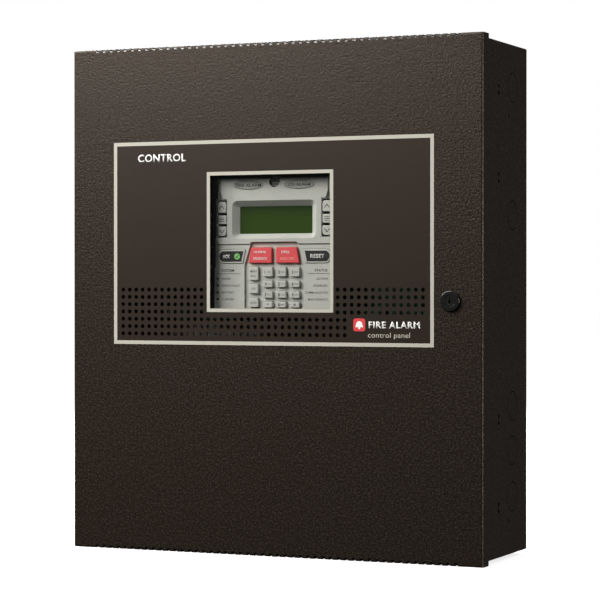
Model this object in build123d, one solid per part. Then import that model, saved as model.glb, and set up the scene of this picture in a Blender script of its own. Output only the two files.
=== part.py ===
"""Wall-mounted fire alarm control panel: steel cabinet, hinged door, keypad, board and batteries.

Millimetres. The origin is the centre of the cabinet's back face, which lies on the wall.
+X is right as seen from the front, +Y goes into the wall and +Z is up, so the front faces -Y.
"""
from build123d import *
import os
from math import cos, pi, sin

# ---------------------------------------------------------------- driving dimensions
DOOR_W, DOOR_H, DOOR_FLANGE = 427.2, 489.2, 16.0
BOX_W, BOX_H, CABINET_D = 422.9, 482.6, 132.0
DOOR_T, BOX_T = 1.2, 1.5
DOOR_GAP = 1.2                     # door sheet to the cabinet's front lip
LIP_W = 10.0
FACE = -CABINET_D                  # y of the door's front face
DOOR_BACK = FACE + DOOR_T
LIP_Y = DOOR_BACK + DOOR_GAP
BACK_INNER = -BOX_T
HALF_W, HALF_H = BOX_W / 2, BOX_H / 2
INNER_W, INNER_H = HALF_W - BOX_T, HALF_H - BOX_T

# printed overlay, window and sound holes, all about one centre line
PANEL_X = -1.2
OVERLAY_X, OVERLAY_W, OVERLAY_Z, OVERLAY_H, OVERLAY_T = PANEL_X, 334.8, 54.4, 197.2, 0.25
WINDOW_X, WINDOW_W, WINDOW_Z, WINDOW_H = -0.9, 125.2, 54.9, 127.4
HOLE_PITCH, HOLE_R = 7.12, 1.95
HOLE_COLUMNS = 45
HOLE_X0, HOLE_Z0 = -158.1, 9.2
HOLE_ROWS_SPLIT, HOLE_ROWS = 4, 7
SPLIT_COLUMNS = (13, 32)           # the upper rows skip the columns behind the window
LOW_ROW_COLUMNS = 34               # the lower rows stop before the printed mark
VENT_COUNT, VENT_PITCH, VENT_W, VENT_H, VENT_DEPTH = 49, 7.81, 3.3, 3.0, 9.0

PANE_T, PANE_SIDE, PANE_END = 2.0, 6.5, 7.0
STUD_R, STUD_LENGTH, NUT_R, NUT_T = 1.0, 4.4, 2.8, 0.6

# hinges on the left edge
HINGE_X, HINGE_Y = -216.6, -110.5
HINGE_ZS = (154.7, -153.2)
HINGE_H, HINGE_PLATE_T = 100.0, 1.5
PIN_R, KNUCKLE_R, KNUCKLE_FIT = 1.9, 3.0, 0.1
KNUCKLE_H, KNUCKLE_GAP, LEAF_T = 16.0, 0.3, 1.2
RIVET_Y, RIVET_PAIR, RIVET_SPAN = -81.8, 6.5, 82.2
RIVET_R, RIVET_HEAD_R, RIVET_HEAD_H = 1.95, 3.2, 1.3

# cam lock on the right of the door
LOCK_X, LOCK_Z = 181.9, -1.2
LOCK_FACE_R, LOCK_FACE_T, LOCK_R, PLUG_R, PLUG_FIT = 9.6, 2.8, 8.0, 5.5, 0.05
LOCK_BACK = FACE + 13.4
CAM_L, CAM_W, CAM_T, CAM_GAP = 25.0, 11.0, 1.6, 0.2
STRIKE_T, STRIKE_REACH, STRIKE_DEPTH, STRIKE_H = 1.5, 16.0, 20.0, 40.0

# wall fixings and cable entries
MOUNT_X, MOUNT_TOP_Z, MOUNT_BOTTOM_Z = 177.8, 205.0, -215.0
MOUNT_R, KEYHOLE_R, KEYHOLE_RISE = 3.175, 6.5, 12.0
KNOCKOUT_R, KNOCKOUT_SLOT, KNOCKOUT_TAB = 14.1, 0.8, 3.2
KNOCKOUT_Y = -42.0
SIDE_KNOCKOUT_ZS = (200.5, 79.6, -101.0, -143.1, -186.7)
END_KNOCKOUT_XS = (-140.0, -55.0, 55.0, 140.0)
PILOT_HOLES = ((-53.0, 173.2, 1.6), (-53.0, -208.6, 1.6), (-105.4, -145.3, 1.1))

# chassis, board and standoffs
CHASSIS_X, CHASSIS_Z0, CHASSIS_Z1, CHASSIS_Y, CHASSIS_T = 170.0, -110.0, 200.0, -60.0, 1.5
CHASSIS_FOOT, PAD_R, PAD_H = 14.0, 6.0, 4.0
PAD_ZS = (175.0, -85.0)
CHASSIS_BACK = BACK_INNER - PAD_H
CHASSIS_FACE = CHASSIS_Y - CHASSIS_T
FOOT_HALF_H = 12.0
SLOT_Y0, SLOT_Y1, SLOT_Z0, SLOT_Z1 = -50.0, -16.0, 0.0, 110.0   # cable slot in each flange
BOARD_X, BOARD_Z0, BOARD_Z1, BOARD_T = 160.0, -22.0, 190.0, 1.6
BOARD_STANDOFF = 8.0
BOARD_BACK = CHASSIS_FACE - BOARD_STANDOFF
BOARD_FACE = BOARD_BACK - BOARD_T
SCREW_R, SCREW_HEAD_R, SCREW_HEAD_H, SCREW_FIT = 1.5, 2.9, 2.0, 0.05
BOARD_SCREW_INSET_X, BOARD_SCREW_INSET_Z = 5.0, 26.0
BLOCK_COUNT, BLOCK_W, BLOCK_H, BLOCK_D, BLOCK_PITCH = 6, 44.0, 10.0, 12.0, 51.0
BLOCK_EDGE, WAY_COUNT, WAY_PITCH, WAY_R, WAY_DEPTH = 2.0, 8, 5.08, 1.7, 2.0
RELAY_X, RELAY_Z, RELAY_PITCH_X, RELAY_PITCH_Z = 92.0, 118.0, 26.0, 22.0
RELAY_W, RELAY_H, RELAY_D = 19.0, 15.4, 15.5
CAN_X, CAN_Z, CAN_PITCH, CAN_R, CAN_D = -132.0, 20.0, 21.0, 8.0, 25.0

# transformer
CORE_X, CORE_Z, CORE_W, CORE_H = -115.0, -68.0, 75.0, 62.5
CORE_Y0, CORE_Y1, CORE_LEG = -100.0, -74.0, 12.5
CORE_FOOT_T, CORE_TOE = 1.5, 10.0
COIL_BUILD, COIL_PROUD, COIL_FIT = 11.0, 9.0, 0.5

# keypad
KEYPAD_X = -1.3
KEYPAD_FACE, HOOD_FACE = FACE + 12.0, FACE + 11.0
KEYPAD_T = 3.2
KEYPAD_REAR = KEYPAD_FACE + 11.0
KEYPAD_WALL = 1.6
KEYPAD_Z0, KEYPAD_STEP_LOW, KEYPAD_STEP_HIGH, KEYPAD_Z1 = -15.0, 29.6, 57.5, 115.8
KEYPAD_LOW_W, KEYPAD_MID_W, KEYPAD_TOP_W, KEYPAD_BROW_W = 63.4, 62.2, 61.4, 59.8
KEYPAD_POST_X, KEYPAD_POST_ZS, POST_CLEAR_R = 55.0, (-6.0, 101.0), 4.0
KEYPAD_BOARD_T = 1.6
MAT_FACE = KEYPAD_REAR - 3.0
MAT_T = 2.0
MAT_HALF_W, MAT_Z0, MAT_Z1 = 59.2, -11.0, 51.0
MAT_SIDE_X, MAT_SIDE_Z1 = 47.0, 96.0
MAT_FOOT_W, MAT_FOOT_Z0, MAT_FOOT_Z1 = 46.0, -9.0, 46.0
DOME_R, DOME_H = 1.8, 1.0
FIELD_DEPTH = 2.0
FIELD_FLOOR = KEYPAD_FACE + FIELD_DEPTH
FIELD_LOW_W, FIELD_TOP_W, FIELD_Z0, FIELD_BEND_Z, FIELD_Z1 = 31.4, 24.3, -9.3, 33.0, 54.9
GROOVE_X0, GROOVE_Z0, GROOVE_Z1, GROOVE_DEPTH = 26.5, 51.7, 52.7, 0.6
HOOD_Z0, HOOD_SHELF_Z, HOOD_NOTCH_Z, HOOD_SLANT_Z = GROOVE_Z1, 59.3, 96.0, 102.8
HOOD_TOP_W, HOOD_LOW_W, HOOD_BODY_W = 56.4, 54.0, 49.8
HOOD_SKIN, HOOD_CHAMFER = 2.0, 0.4
HORN_POCKET = ((54.6, 95.0), (57.0, 103.0), (58.6, 95.0))
LCD_Z0, LCD_Z1, LCD_W, LCD_FACE = 62.9, 88.9, 37.9, FACE + 16.5
LCD_FRAME = 5.0
RECESS_Z0, RECESS_Z1, RECESS_W, RECESS_R, RECESS_WALL = 58.3, 94.6, 44.2, 6.0, 1.6
SOUNDER_X, SOUNDER_Z, SOUNDER_R, SOUNDER_FIT, SOUNDER_FACE = 0.6, 112.6, 5.2, 0.4, FACE + 14.0
SOUNDER_PORT_R, SOUNDER_RING_R, SOUNDER_SLOT_R, SOUNDER_PORT_DEPTH = 1.2, 3.1, 0.8, 1.6
LED_X, LED_R, LED_FIT = 60.1, 1.0, 0.1
LED_ZS = (19.6, 13.2, 6.5, -0.1)
LENS_X, LENS_HALF, LENS_Z, LENS_RISE, LENS_FIT = 26.6, 18.0, 109.2, 3.7, 0.15
LENS_GROOVE_W, LENS_GROOVE_DEPTH, LENS_GROOVE_END = 0.75, 1.0, 3.0
LENS_PROUD, LENS_DEPTH = 0.3, 2.2

# keys: how far they stand out, travel and clearance
KEY_TRAVEL, KEY_FIT, KEY_FLANGE, KEY_FLANGE_T = 1.0, 0.35, 0.6, 0.9
KEY_REAR = MAT_FACE - DOME_H - KEY_TRAVEL - 0.1
KEY_FLANGE_FRONT = KEYPAD_FACE + KEYPAD_T + 0.15
PROUD_BASE, PROUD_FIELD = 0.8, 1.2
NUMBER_KEYS = ("1", "2", "3", "4", "5", "6", "7", "8", "9", "star", "0", "hash")
NUMBER_XS = (-6.4, 7.75, 21.9)
NUMBER_W, TALL_X, TALL_W = 9.9, -21.35, 9.7
NUMBER_ROWS = ((21.6, 30.4), (11.4, 17.7), (1.1, 7.5), (-8.1, -2.3))
TALL_ROWS = ((18.1, 30.8), (5.4, 14.8), (-7.8, 1.1))
SIDE_KEY_X0, SIDE_KEY_X1 = 50.5, 59.8
SIDE_POCKET_X0, SIDE_POCKET_X1, SIDE_POCKET_END = 49.8, 60.4, 1.4
SIDE_ROWS = ((83.1, 93.8), (72.3, 80.7), (60.7, 70.0))
RED_Z0, RED_Z1, RED_INNER, RED_TOP, RED_BOTTOM = 34.6, 49.4, 2.3, 23.9, 26.6
PILL_Z0, PILL_Z1, PILL_TOP, PILL_BOTTOM, PILL_OUTER = 34.4, 47.8, 30.0, 33.0, 59.6

# batteries and leads
BATTERY_W, BATTERY_D, BATTERY_H = 151.0, 65.0, 94.0
BATTERY_Y1 = BACK_INNER - 10.0
BATTERY_Z0 = -INNER_H
BATTERY_XS = {"battery_left": -BATTERY_W / 2 - 3.0, "battery_right": BATTERY_W / 2 + 3.0}
BATTERY_LID_H, BATTERY_LID_STEP = 8.0, 1.0
VENT_STRIP_W, VENT_STRIP_INSET, VENT_STRIP_H = 80.0, 22.0, 1.5
BATTERY_TOP = BATTERY_Z0 + BATTERY_H
TAB_W, TAB_T, TAB_H = 6.3, 0.8, 7.9
TAB_INSET, TAB_Y, TAB_FIT = 12.0, BATTERY_Y1 - BATTERY_D + 12.0, 0.05
CRIMP_Z0, CRIMP_H, CRIMP_HALF_W, CRIMP_HALF_T = BATTERY_TOP + 1.6, 12.0, 4.2, 2.0
LEAD_R = 1.5
LEAD_Z0, LEAD_RISE = CRIMP_Z0 + CRIMP_H, 7.0
LEAD_Y, LEAD_END_Z = BOARD_FACE - BLOCK_D / 2, BOARD_Z0 + BLOCK_EDGE
RED_LEAD_X, BLACK_LEAD_X = 96.0, -26.0


# ---------------------------------------------------------------- drawing helpers
def block(x0, x1, y0, y1, z0, z1):
    """A box between two corners."""
    return Pos((x0 + x1) / 2, (y0 + y1) / 2, (z0 + z1) / 2) * Box(x1 - x0, y1 - y0, z1 - z0)


def rod_y(x, z, y0, y1, radius):
    """A cylinder along Y from y0 to y1."""
    return Pos(x, (y0 + y1) / 2, z) * Rot(90, 0, 0) * Cylinder(radius, y1 - y0)


def rod_x(y, z, x0, x1, radius):
    """A cylinder along X from x0 to x1."""
    return Pos((x0 + x1) / 2, y, z) * Rot(0, 90, 0) * Cylinder(radius, x1 - x0)


def rod_z(x, y, z0, z1, radius):
    """A cylinder along Z from z0 to z1."""
    return Pos(x, y, (z0 + z1) / 2) * Cylinder(radius, z1 - z0)


def slab(profile, y_front, y_back):
    """Extrude a profile drawn in x and z between two depths."""
    return extrude(Plane.XZ.offset(-y_back) * profile, y_back - y_front)


def polygon(points):
    """A filled outline through the given corners."""
    return make_face(Polyline(*points, close=True))


def rounded(profile, radius):
    """The profile with every corner rounded."""
    return fillet(profile.vertices(), radius)


def mirrored(points):
    """A corner list and its mirror image about x = 0, as one closed outline."""
    return points + [(-x, z) for x, z in reversed(points)]


def group(*shapes):
    """Separate solids kept together in one node."""
    solids = []
    for shape in shapes:
        solids.extend(shape.solids())
    return Compound(children=solids)


def save(name, shape):
    """Write one node, after folding a one-solid result down to its solid."""
    solids = shape.solids()
    result = solids[0] if len(solids) == 1 else Compound(children=list(solids))
    export_step(result, f"parts/{name}.step")


# ---------------------------------------------------------------- door
def sound_holes():
    """Centres of the sound holes: full rows below the window, split rows beside it."""
    centres = []
    for row in range(HOLE_ROWS):
        for column in range(HOLE_COLUMNS):
            beside = row < HOLE_ROWS_SPLIT and not SPLIT_COLUMNS[0] <= column < SPLIT_COLUMNS[1]
            below = row >= HOLE_ROWS_SPLIT and column < LOW_ROW_COLUMNS
            if beside or below:
                centres.append((HOLE_X0 + column * HOLE_PITCH, HOLE_Z0 - row * HOLE_PITCH))
    return centres


def front_openings():
    """The window and sound holes, as one profile shared by the door and its overlay."""
    window = Pos(WINDOW_X, WINDOW_Z) * Rectangle(WINDOW_W, WINDOW_H)
    return window + [Pos(x, z) * Circle(HOLE_R) for x, z in sound_holes()]


def pane_studs():
    """Stud centres around the window: three above, three below and two on each side."""
    x_edge = WINDOW_W / 2 + PANE_SIDE / 2
    z_edge = WINDOW_H / 2 + PANE_END / 2
    ends = [(x, z) for z in (z_edge, -z_edge) for x in (-50.0, 0.0, 50.0)]
    sides = [(x, z) for x in (x_edge, -x_edge) for z in (-24.0, 26.0)]
    return [(WINDOW_X + x, WINDOW_Z + z) for x, z in ends + sides]


def make_door():
    """Folded pan: front sheet, four flanges, vent combs on the top and bottom bends."""
    outer = block(-DOOR_W / 2, DOOR_W / 2, FACE, FACE + DOOR_FLANGE, -DOOR_H / 2, DOOR_H / 2)
    outer = fillet(outer.edges().group_by(Axis.Y)[0], 1.8)
    inner = block(-DOOR_W / 2 + DOOR_T, DOOR_W / 2 - DOOR_T, DOOR_BACK, FACE + DOOR_FLANGE + 1,
                  -DOOR_H / 2 + DOOR_T, DOOR_H / 2 - DOOR_T)
    inner = fillet(inner.edges().group_by(Axis.Y)[0], 0.6)
    pan = outer - inner
    slots = []
    for side in (1, -1):
        for number in range(VENT_COUNT):
            x = (number - (VENT_COUNT - 1) / 2) * VENT_PITCH
            edge = side * (DOOR_H / 2 + 1)
            step = side * (DOOR_H / 2 - VENT_H)
            slots.append(block(x - VENT_W / 2, x + VENT_W / 2, FACE - 1, FACE + VENT_DEPTH,
                               min(edge, step), max(edge, step)))
    pan = pan - slots
    pan = pan - slab(front_openings(), FACE - 1, DOOR_BACK + 1)
    pan = pan - rod_y(LOCK_X, LOCK_Z, FACE - 1, DOOR_BACK + 1, LOCK_R + 0.05)
    for x, z in pane_studs():
        pan = pan + rod_y(x, z, DOOR_BACK, DOOR_BACK + STUD_LENGTH, STUD_R)
    return pan


def make_overlay():
    """Printed film bonded to the door face."""
    film = Pos(OVERLAY_X, OVERLAY_Z) * Rectangle(OVERLAY_W, OVERLAY_H)
    return slab(film - front_openings(), FACE - OVERLAY_T, FACE)


def make_pane():
    """Clear pane behind the window, drilled for the door's studs."""
    pane = Pos(WINDOW_X, WINDOW_Z) * Rectangle(WINDOW_W + 2 * PANE_SIDE, WINDOW_H + 2 * PANE_END)
    pane = rounded(pane, 2.0) - [Pos(x, z) * Circle(STUD_R + 0.25) for x, z in pane_studs()]
    return slab(pane, DOOR_BACK, DOOR_BACK + PANE_T)


def make_push_nuts():
    """Spring nuts pushed over the studs to hold the pane."""
    y0 = DOOR_BACK + PANE_T
    ring = Circle(NUT_R) - Circle(STUD_R + 0.05)
    return group(*[slab(Pos(x, z) * ring, y0, y0 + NUT_T) for x, z in pane_studs()])


# ---------------------------------------------------------------- cabinet
def knockout(radius=KNOCKOUT_R):
    """Ring slot of one knockout, interrupted by the two tabs that hold its disc."""
    ring = Circle(radius) - Circle(radius - KNOCKOUT_SLOT)
    return ring - Rot(0, 0, 45) * Rectangle(KNOCKOUT_TAB, 3 * radius)


def hinge_rivet_centres(z_hinge):
    """Heights of the four rivet holes behind one hinge."""
    return [z_hinge + span * RIVET_SPAN / 2 + pair * RIVET_PAIR / 2
            for span in (1, -1) for pair in (1, -1)]


def make_backbox():
    """Open-fronted steel box with an inward lip, knockouts, wall fixings and chassis pads."""
    shell = block(-HALF_W, HALF_W, LIP_Y, 0, -HALF_H, HALF_H)
    shell = fillet(shell.edges().filter_by(Axis.Y), 1.5)
    shell -= block(-INNER_W, INNER_W, LIP_Y + BOX_T, BACK_INNER, -INNER_H, INNER_H)
    shell -= block(-HALF_W + LIP_W, HALF_W - LIP_W, LIP_Y - 1, LIP_Y + 2 * BOX_T,
                   -HALF_H + LIP_W, HALF_H - LIP_W)
    side = Plane.YZ.offset(-HALF_W - 1)
    cuts = []
    for z in SIDE_KNOCKOUT_ZS:
        cuts.append(extrude(side * Pos(KNOCKOUT_Y, z) * knockout(), BOX_W + 2))
    for x in END_KNOCKOUT_XS:
        for z0 in (-HALF_H - 1, INNER_H - 1):
            cuts.append(extrude(Plane.XY.offset(z0) * Pos(x, KNOCKOUT_Y) * knockout(), BOX_T + 2))
    for z_hinge in HINGE_ZS:
        for z in hinge_rivet_centres(z_hinge):
            cuts.append(rod_x(RIVET_Y, z, -HALF_W - 1, HALF_W + 1, RIVET_R + 0.05))
    for y, z, radius in PILOT_HOLES:
        cuts.append(rod_x(y, z, INNER_W - 1, HALF_W + 1, radius))
    for x in (-MOUNT_X, MOUNT_X):
        cuts.append(rod_y(x, MOUNT_BOTTOM_Z, BACK_INNER - 1, 1, MOUNT_R))
        cuts.append(rod_y(x, MOUNT_TOP_Z, BACK_INNER - 1, 1, KEYHOLE_R))
        cuts.append(block(x - MOUNT_R, x + MOUNT_R, BACK_INNER - 1, 1,
                          MOUNT_TOP_Z, MOUNT_TOP_Z + KEYHOLE_RISE))
        cuts.append(rod_y(x, MOUNT_TOP_Z + KEYHOLE_RISE, BACK_INNER - 1, 1, MOUNT_R))
    shell = shell - cuts
    for x, z in chassis_feet():
        shell += rod_y(x, z, CHASSIS_BACK, BACK_INNER, PAD_R)
        shell -= rod_y(x, z, CHASSIS_BACK - 1, BACK_INNER + 0.5, SCREW_R + SCREW_FIT)
    return shell


def make_latch_strike():
    """Angle bracket welded inside the right wall, that the lock's cam turns in behind."""
    y0 = LOCK_BACK + CAM_GAP - STRIKE_T - 0.4
    z0, z1 = LOCK_Z - STRIKE_H / 2, LOCK_Z + STRIKE_H / 2
    angle = block(INNER_W - STRIKE_REACH, INNER_W, y0, y0 + STRIKE_T, z0, z1)
    angle += block(INNER_W - STRIKE_T, INNER_W, y0, y0 + STRIKE_DEPTH, z0, z1)
    return fillet(angle.edges().filter_by(Axis.Y).group_by(Axis.X)[0], 3.0)


# ---------------------------------------------------------------- hinges
def knuckle_span(z_hinge):
    """Bottom of the cabinet knuckle, joint line and top of the door knuckle."""
    bottom = z_hinge - KNUCKLE_H
    return bottom, z_hinge, z_hinge + KNUCKLE_H


def make_hinge_plates():
    """Cabinet halves of the lift-off hinges: riveted plate, joggled web and lower knuckle."""
    plates = []
    for z_hinge in HINGE_ZS:
        z0, z1, _ = knuckle_span(z_hinge)
        x_in, x_out = -HALF_W, -HALF_W - HINGE_PLATE_T
        plate = block(x_out, x_in, HINGE_Y + 5.0, -68.0,
                      z_hinge - HINGE_H / 2, z_hinge + HINGE_H / 2)
        plate = fillet(plate.edges().filter_by(Axis.X), 4.0)
        web = polygon([(x_in, HINGE_Y + 12.0), (x_out, HINGE_Y + 12.0), (x_out, HINGE_Y + 6.0),
                       (HINGE_X + KNUCKLE_R - LEAF_T, HINGE_Y + 3.0), (HINGE_X, HINGE_Y),
                       (HINGE_X + KNUCKLE_R, HINGE_Y), (HINGE_X + KNUCKLE_R, HINGE_Y + 2.4),
                       (x_in, HINGE_Y + 5.4)])
        plate += extrude(Plane.XY.offset(z0) * web, z1 - z0)
        plate += rod_z(HINGE_X, HINGE_Y, z0, z1, KNUCKLE_R)
        plate -= rod_z(HINGE_X, HINGE_Y, z0 - 1, z1 + 1, PIN_R + 0.02)
        for z in hinge_rivet_centres(z_hinge):
            plate -= rod_x(RIVET_Y, z, x_out - 1, x_in + 1, RIVET_R + 0.05)
        plates.append(plate)
    return group(*plates)


def make_hinge_pins():
    """Pins that stand up out of the cabinet knuckles, with a lead-in cone on top."""
    pins = []
    for z_hinge in HINGE_ZS:
        z0, _, z2 = knuckle_span(z_hinge)
        pin = rod_z(HINGE_X, HINGE_Y, z0, z2 + 3.0, PIN_R)
        pins.append(chamfer(pin.edges().sort_by(Axis.Z)[-1], 1.0))
    return group(*pins)


def make_hinge_leaves():
    """Door halves of the hinges: leaf welded to the left flange, with the upper knuckle."""
    leaves = []
    x_in = HINGE_X + KNUCKLE_R
    for z_hinge in HINGE_ZS:
        _, z1, z2 = knuckle_span(z_hinge)
        z0 = z1 + KNUCKLE_GAP
        leaf = block(x_in - LEAF_T, x_in, FACE + 4.0, HINGE_Y, z0, z2)
        leaf += rod_z(HINGE_X, HINGE_Y, z0, z2, KNUCKLE_R)
        leaf -= rod_z(HINGE_X, HINGE_Y, z0 - 1, z2 + 1, PIN_R + KNUCKLE_FIT)
        leaves.append(leaf)
    return group(*leaves)


def rivet(y, z, x_wall, side, grip):
    """Blind rivet along X: domed head outside, shank through the grip, pulled tail inside."""
    centre = x_wall - side * grip / 2
    shank = rod_x(y, z, centre - grip / 2, centre + grip / 2, RIVET_R)
    ball_r = (RIVET_HEAD_R ** 2 + RIVET_HEAD_H ** 2) / (2 * RIVET_HEAD_H)
    ball = Pos(x_wall + side * (RIVET_HEAD_H - ball_r), y, z) * Sphere(ball_r)
    ends = sorted((x_wall, x_wall + side * 2 * RIVET_HEAD_H))
    head = ball & block(*ends, y - ball_r, y + ball_r, z - ball_r, z + ball_r)
    tail_x = x_wall - side * grip
    tail = rod_x(y, z, min(tail_x, tail_x - side * 2.0), max(tail_x, tail_x - side * 2.0), 2.7)
    return shank + head + tail


def make_rivets():
    """The eight rivets that hold the hinge plates to the left wall."""
    rivets = []
    for z_hinge in HINGE_ZS:
        for z in hinge_rivet_centres(z_hinge):
            rivets.append(rivet(RIVET_Y, z, -HALF_W - HINGE_PLATE_T, -1, HINGE_PLATE_T + BOX_T))
    return group(*rivets)


# ---------------------------------------------------------------- lock
def make_lock_body():
    """Lock housing: round bezel on the door face and a barrel through the sheet."""
    bezel = rod_y(LOCK_X, LOCK_Z, FACE - LOCK_FACE_T, FACE, LOCK_FACE_R)
    bezel = fillet(bezel.edges().sort_by(Axis.Y)[0], 1.0)
    body = bezel + rod_y(LOCK_X, LOCK_Z, FACE, LOCK_BACK, LOCK_R)
    return body - rod_y(LOCK_X, LOCK_Z, FACE - LOCK_FACE_T - 1, LOCK_BACK + 1, PLUG_R + PLUG_FIT)


def make_lock_nut():
    """Hexagon nut that clamps the lock to the door sheet."""
    nut = RegularPolygon(12.6, 6) - Circle(LOCK_R + 0.04)
    return slab(Pos(LOCK_X, LOCK_Z) * nut, DOOR_BACK, DOOR_BACK + 3.0)


def make_lock_plug():
    """Turning plug with its keyway and the square tenon that drives the cam."""
    front = FACE - LOCK_FACE_T + 0.3
    plug = rod_y(LOCK_X, LOCK_Z, front, LOCK_BACK + CAM_GAP, PLUG_R)
    plug -= block(LOCK_X - 0.6, LOCK_X + 0.6, front - 1, front + 5.0, LOCK_Z - 3.2, LOCK_Z + 3.2)
    plug -= rod_y(LOCK_X, LOCK_Z, front - 1, front + 5.0, 1.1)
    return plug


def make_lock_cam():
    """Flat cam hanging down in the unlocked position, with its retaining screw head."""
    y0 = LOCK_BACK + CAM_GAP
    outline = SlotCenterToCenter(CAM_L - CAM_W / 2, CAM_W, rotation=90)
    outline = Pos(LOCK_X, LOCK_Z - (CAM_L - CAM_W / 2) / 2) * outline
    cam = slab(outline, y0, y0 + CAM_T)
    head = rod_y(LOCK_X, LOCK_Z, y0 + CAM_T, y0 + CAM_T + 2.0, 3.5)
    return cam + fillet(head.edges().sort_by(Axis.Y)[-1], 0.8)


# ---------------------------------------------------------------- chassis and board
def chassis_feet():
    """Centres of the four chassis screws, in the feet outside the chassis flanges."""
    x = CHASSIS_X + CHASSIS_FOOT / 2
    return [(side * x, z) for side in (1, -1) for z in PAD_ZS]


def board_screws():
    """Centres of the six board screws."""
    x = BOARD_X - BOARD_SCREW_INSET_X
    z0, z1 = BOARD_Z0 + BOARD_SCREW_INSET_Z, BOARD_Z1 - BOARD_SCREW_INSET_Z
    return [(side * x, z) for side in (1, -1) for z in (z0, (z0 + z1) / 2, z1)]


def keypad_posts():
    """Centres of the four posts that carry the keypad board."""
    return [(KEYPAD_X + side * KEYPAD_POST_X, z) for side in (1, -1) for z in KEYPAD_POST_ZS]


def make_chassis():
    """Hat-section chassis: front plate, two side flanges and outward feet on the pads."""
    chassis = block(-CHASSIS_X, CHASSIS_X, CHASSIS_FACE, CHASSIS_Y, CHASSIS_Z0, CHASSIS_Z1)
    for side in (1, -1):
        x_out, x_in = side * CHASSIS_X, side * (CHASSIS_X - CHASSIS_T)
        x_foot = side * (CHASSIS_X + CHASSIS_FOOT)
        chassis += block(min(x_in, x_out), max(x_in, x_out), CHASSIS_Y, CHASSIS_BACK,
                         CHASSIS_Z0, CHASSIS_Z1)
        for z in PAD_ZS:
            chassis += block(min(x_in, x_foot), max(x_in, x_foot), CHASSIS_BACK - CHASSIS_T,
                             CHASSIS_BACK, z - FOOT_HALF_H, z + FOOT_HALF_H)
        chassis -= block(min(x_in, x_out) - 1, max(x_in, x_out) + 1, SLOT_Y0, SLOT_Y1,
                         SLOT_Z0, SLOT_Z1)
    for x, z in chassis_feet():
        chassis -= rod_y(x, z, CHASSIS_BACK - CHASSIS_T - 1, CHASSIS_BACK + 1, SCREW_R + 0.2)
    return chassis


def hexagon_post(x, z, y0, y1, flats, bore):
    """Hexagonal standoff along Y with a bore open at its front end."""
    post = slab(Pos(x, z) * RegularPolygon(flats / 2, 6, major_radius=False), y0, y1)
    return post - rod_y(x, z, y0 - 1, y0 + 6.5, bore)


def make_board_standoffs():
    """Short standoffs under the main board and long ones under the keypad board."""
    posts = [hexagon_post(x, z, BOARD_BACK, CHASSIS_FACE, 5.5, SCREW_R + SCREW_FIT)
             for x, z in board_screws()]
    posts += [hexagon_post(x, z, KEYPAD_REAR + KEYPAD_BOARD_T, BOARD_FACE, 6.0,
                           SCREW_R + SCREW_FIT) for x, z in keypad_posts()]
    return group(*posts)


def pan_screw(x, z, y_seat, length):
    """Pan-head screw driven along +Y, with a cross recess."""
    head = rod_y(x, z, y_seat - SCREW_HEAD_H, y_seat, SCREW_HEAD_R)
    head = fillet(head.edges().sort_by(Axis.Y)[0], 0.8)
    recess = Rectangle(3.2, 0.8) + Rectangle(0.8, 3.2)
    head -= slab(Pos(x, z) * recess, y_seat - SCREW_HEAD_H - 1, y_seat - SCREW_HEAD_H + 1.0)
    return head + rod_y(x, z, y_seat, y_seat + length, SCREW_R)


def make_screws():
    """Board screws, keypad board screws and chassis screws."""
    screws = [pan_screw(x, z, BOARD_FACE, BOARD_T + 5.0) for x, z in board_screws()]
    screws += [pan_screw(x, z, CHASSIS_BACK - CHASSIS_T, CHASSIS_T + 3.5)
               for x, z in chassis_feet()]
    screws += [pan_screw(x, z, KEYPAD_REAR, KEYPAD_BOARD_T + 5.0) for x, z in keypad_posts()]
    return group(*screws)


def make_main_board():
    """Main circuit board with its screw holes."""
    board = block(-BOARD_X, BOARD_X, BOARD_FACE, BOARD_BACK, BOARD_Z0, BOARD_Z1)
    for x, z in board_screws():
        board -= rod_y(x, z, BOARD_FACE - 1, BOARD_BACK + 1, SCREW_R + 0.2)
    return board


def make_terminal_blocks():
    """Rows of plug-in terminal blocks along the top and bottom edges of the board."""
    blocks = []
    y0, y1 = BOARD_FACE - BLOCK_D, BOARD_FACE
    for z0 in (BOARD_Z0 + BLOCK_EDGE, BOARD_Z1 - BLOCK_EDGE - BLOCK_H):
        for number in range(BLOCK_COUNT):
            x = (number - (BLOCK_COUNT - 1) / 2) * BLOCK_PITCH
            body = block(x - BLOCK_W / 2, x + BLOCK_W / 2, y0, y1, z0, z0 + BLOCK_H)
            for way in range(WAY_COUNT):
                x_way = x + (way - (WAY_COUNT - 1) / 2) * WAY_PITCH
                body -= rod_y(x_way, z0 + BLOCK_H * 0.62, y0 - 1, y0 + WAY_DEPTH, WAY_R)
            blocks.append(body)
    return group(*blocks)


def make_relays():
    """Four sealed relays beside the keypad."""
    relays = []
    for column in range(2):
        for row in range(2):
            x, z = RELAY_X + column * RELAY_PITCH_X, RELAY_Z + row * RELAY_PITCH_Z
            body = block(x - RELAY_W / 2, x + RELAY_W / 2, BOARD_FACE - RELAY_D, BOARD_FACE,
                         z - RELAY_H / 2, z + RELAY_H / 2)
            relays.append(fillet(body.edges().filter_by(Axis.Y), 0.8))
    return group(*relays)


def make_capacitors():
    """Three electrolytic capacitors standing on the board."""
    cans = []
    for number in range(3):
        can = rod_y(CAN_X + number * CAN_PITCH, CAN_Z, BOARD_FACE - CAN_D, BOARD_FACE, CAN_R)
        cans.append(fillet(can.edges().sort_by(Axis.Y)[0], 1.2))
    return group(*cans)


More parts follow.
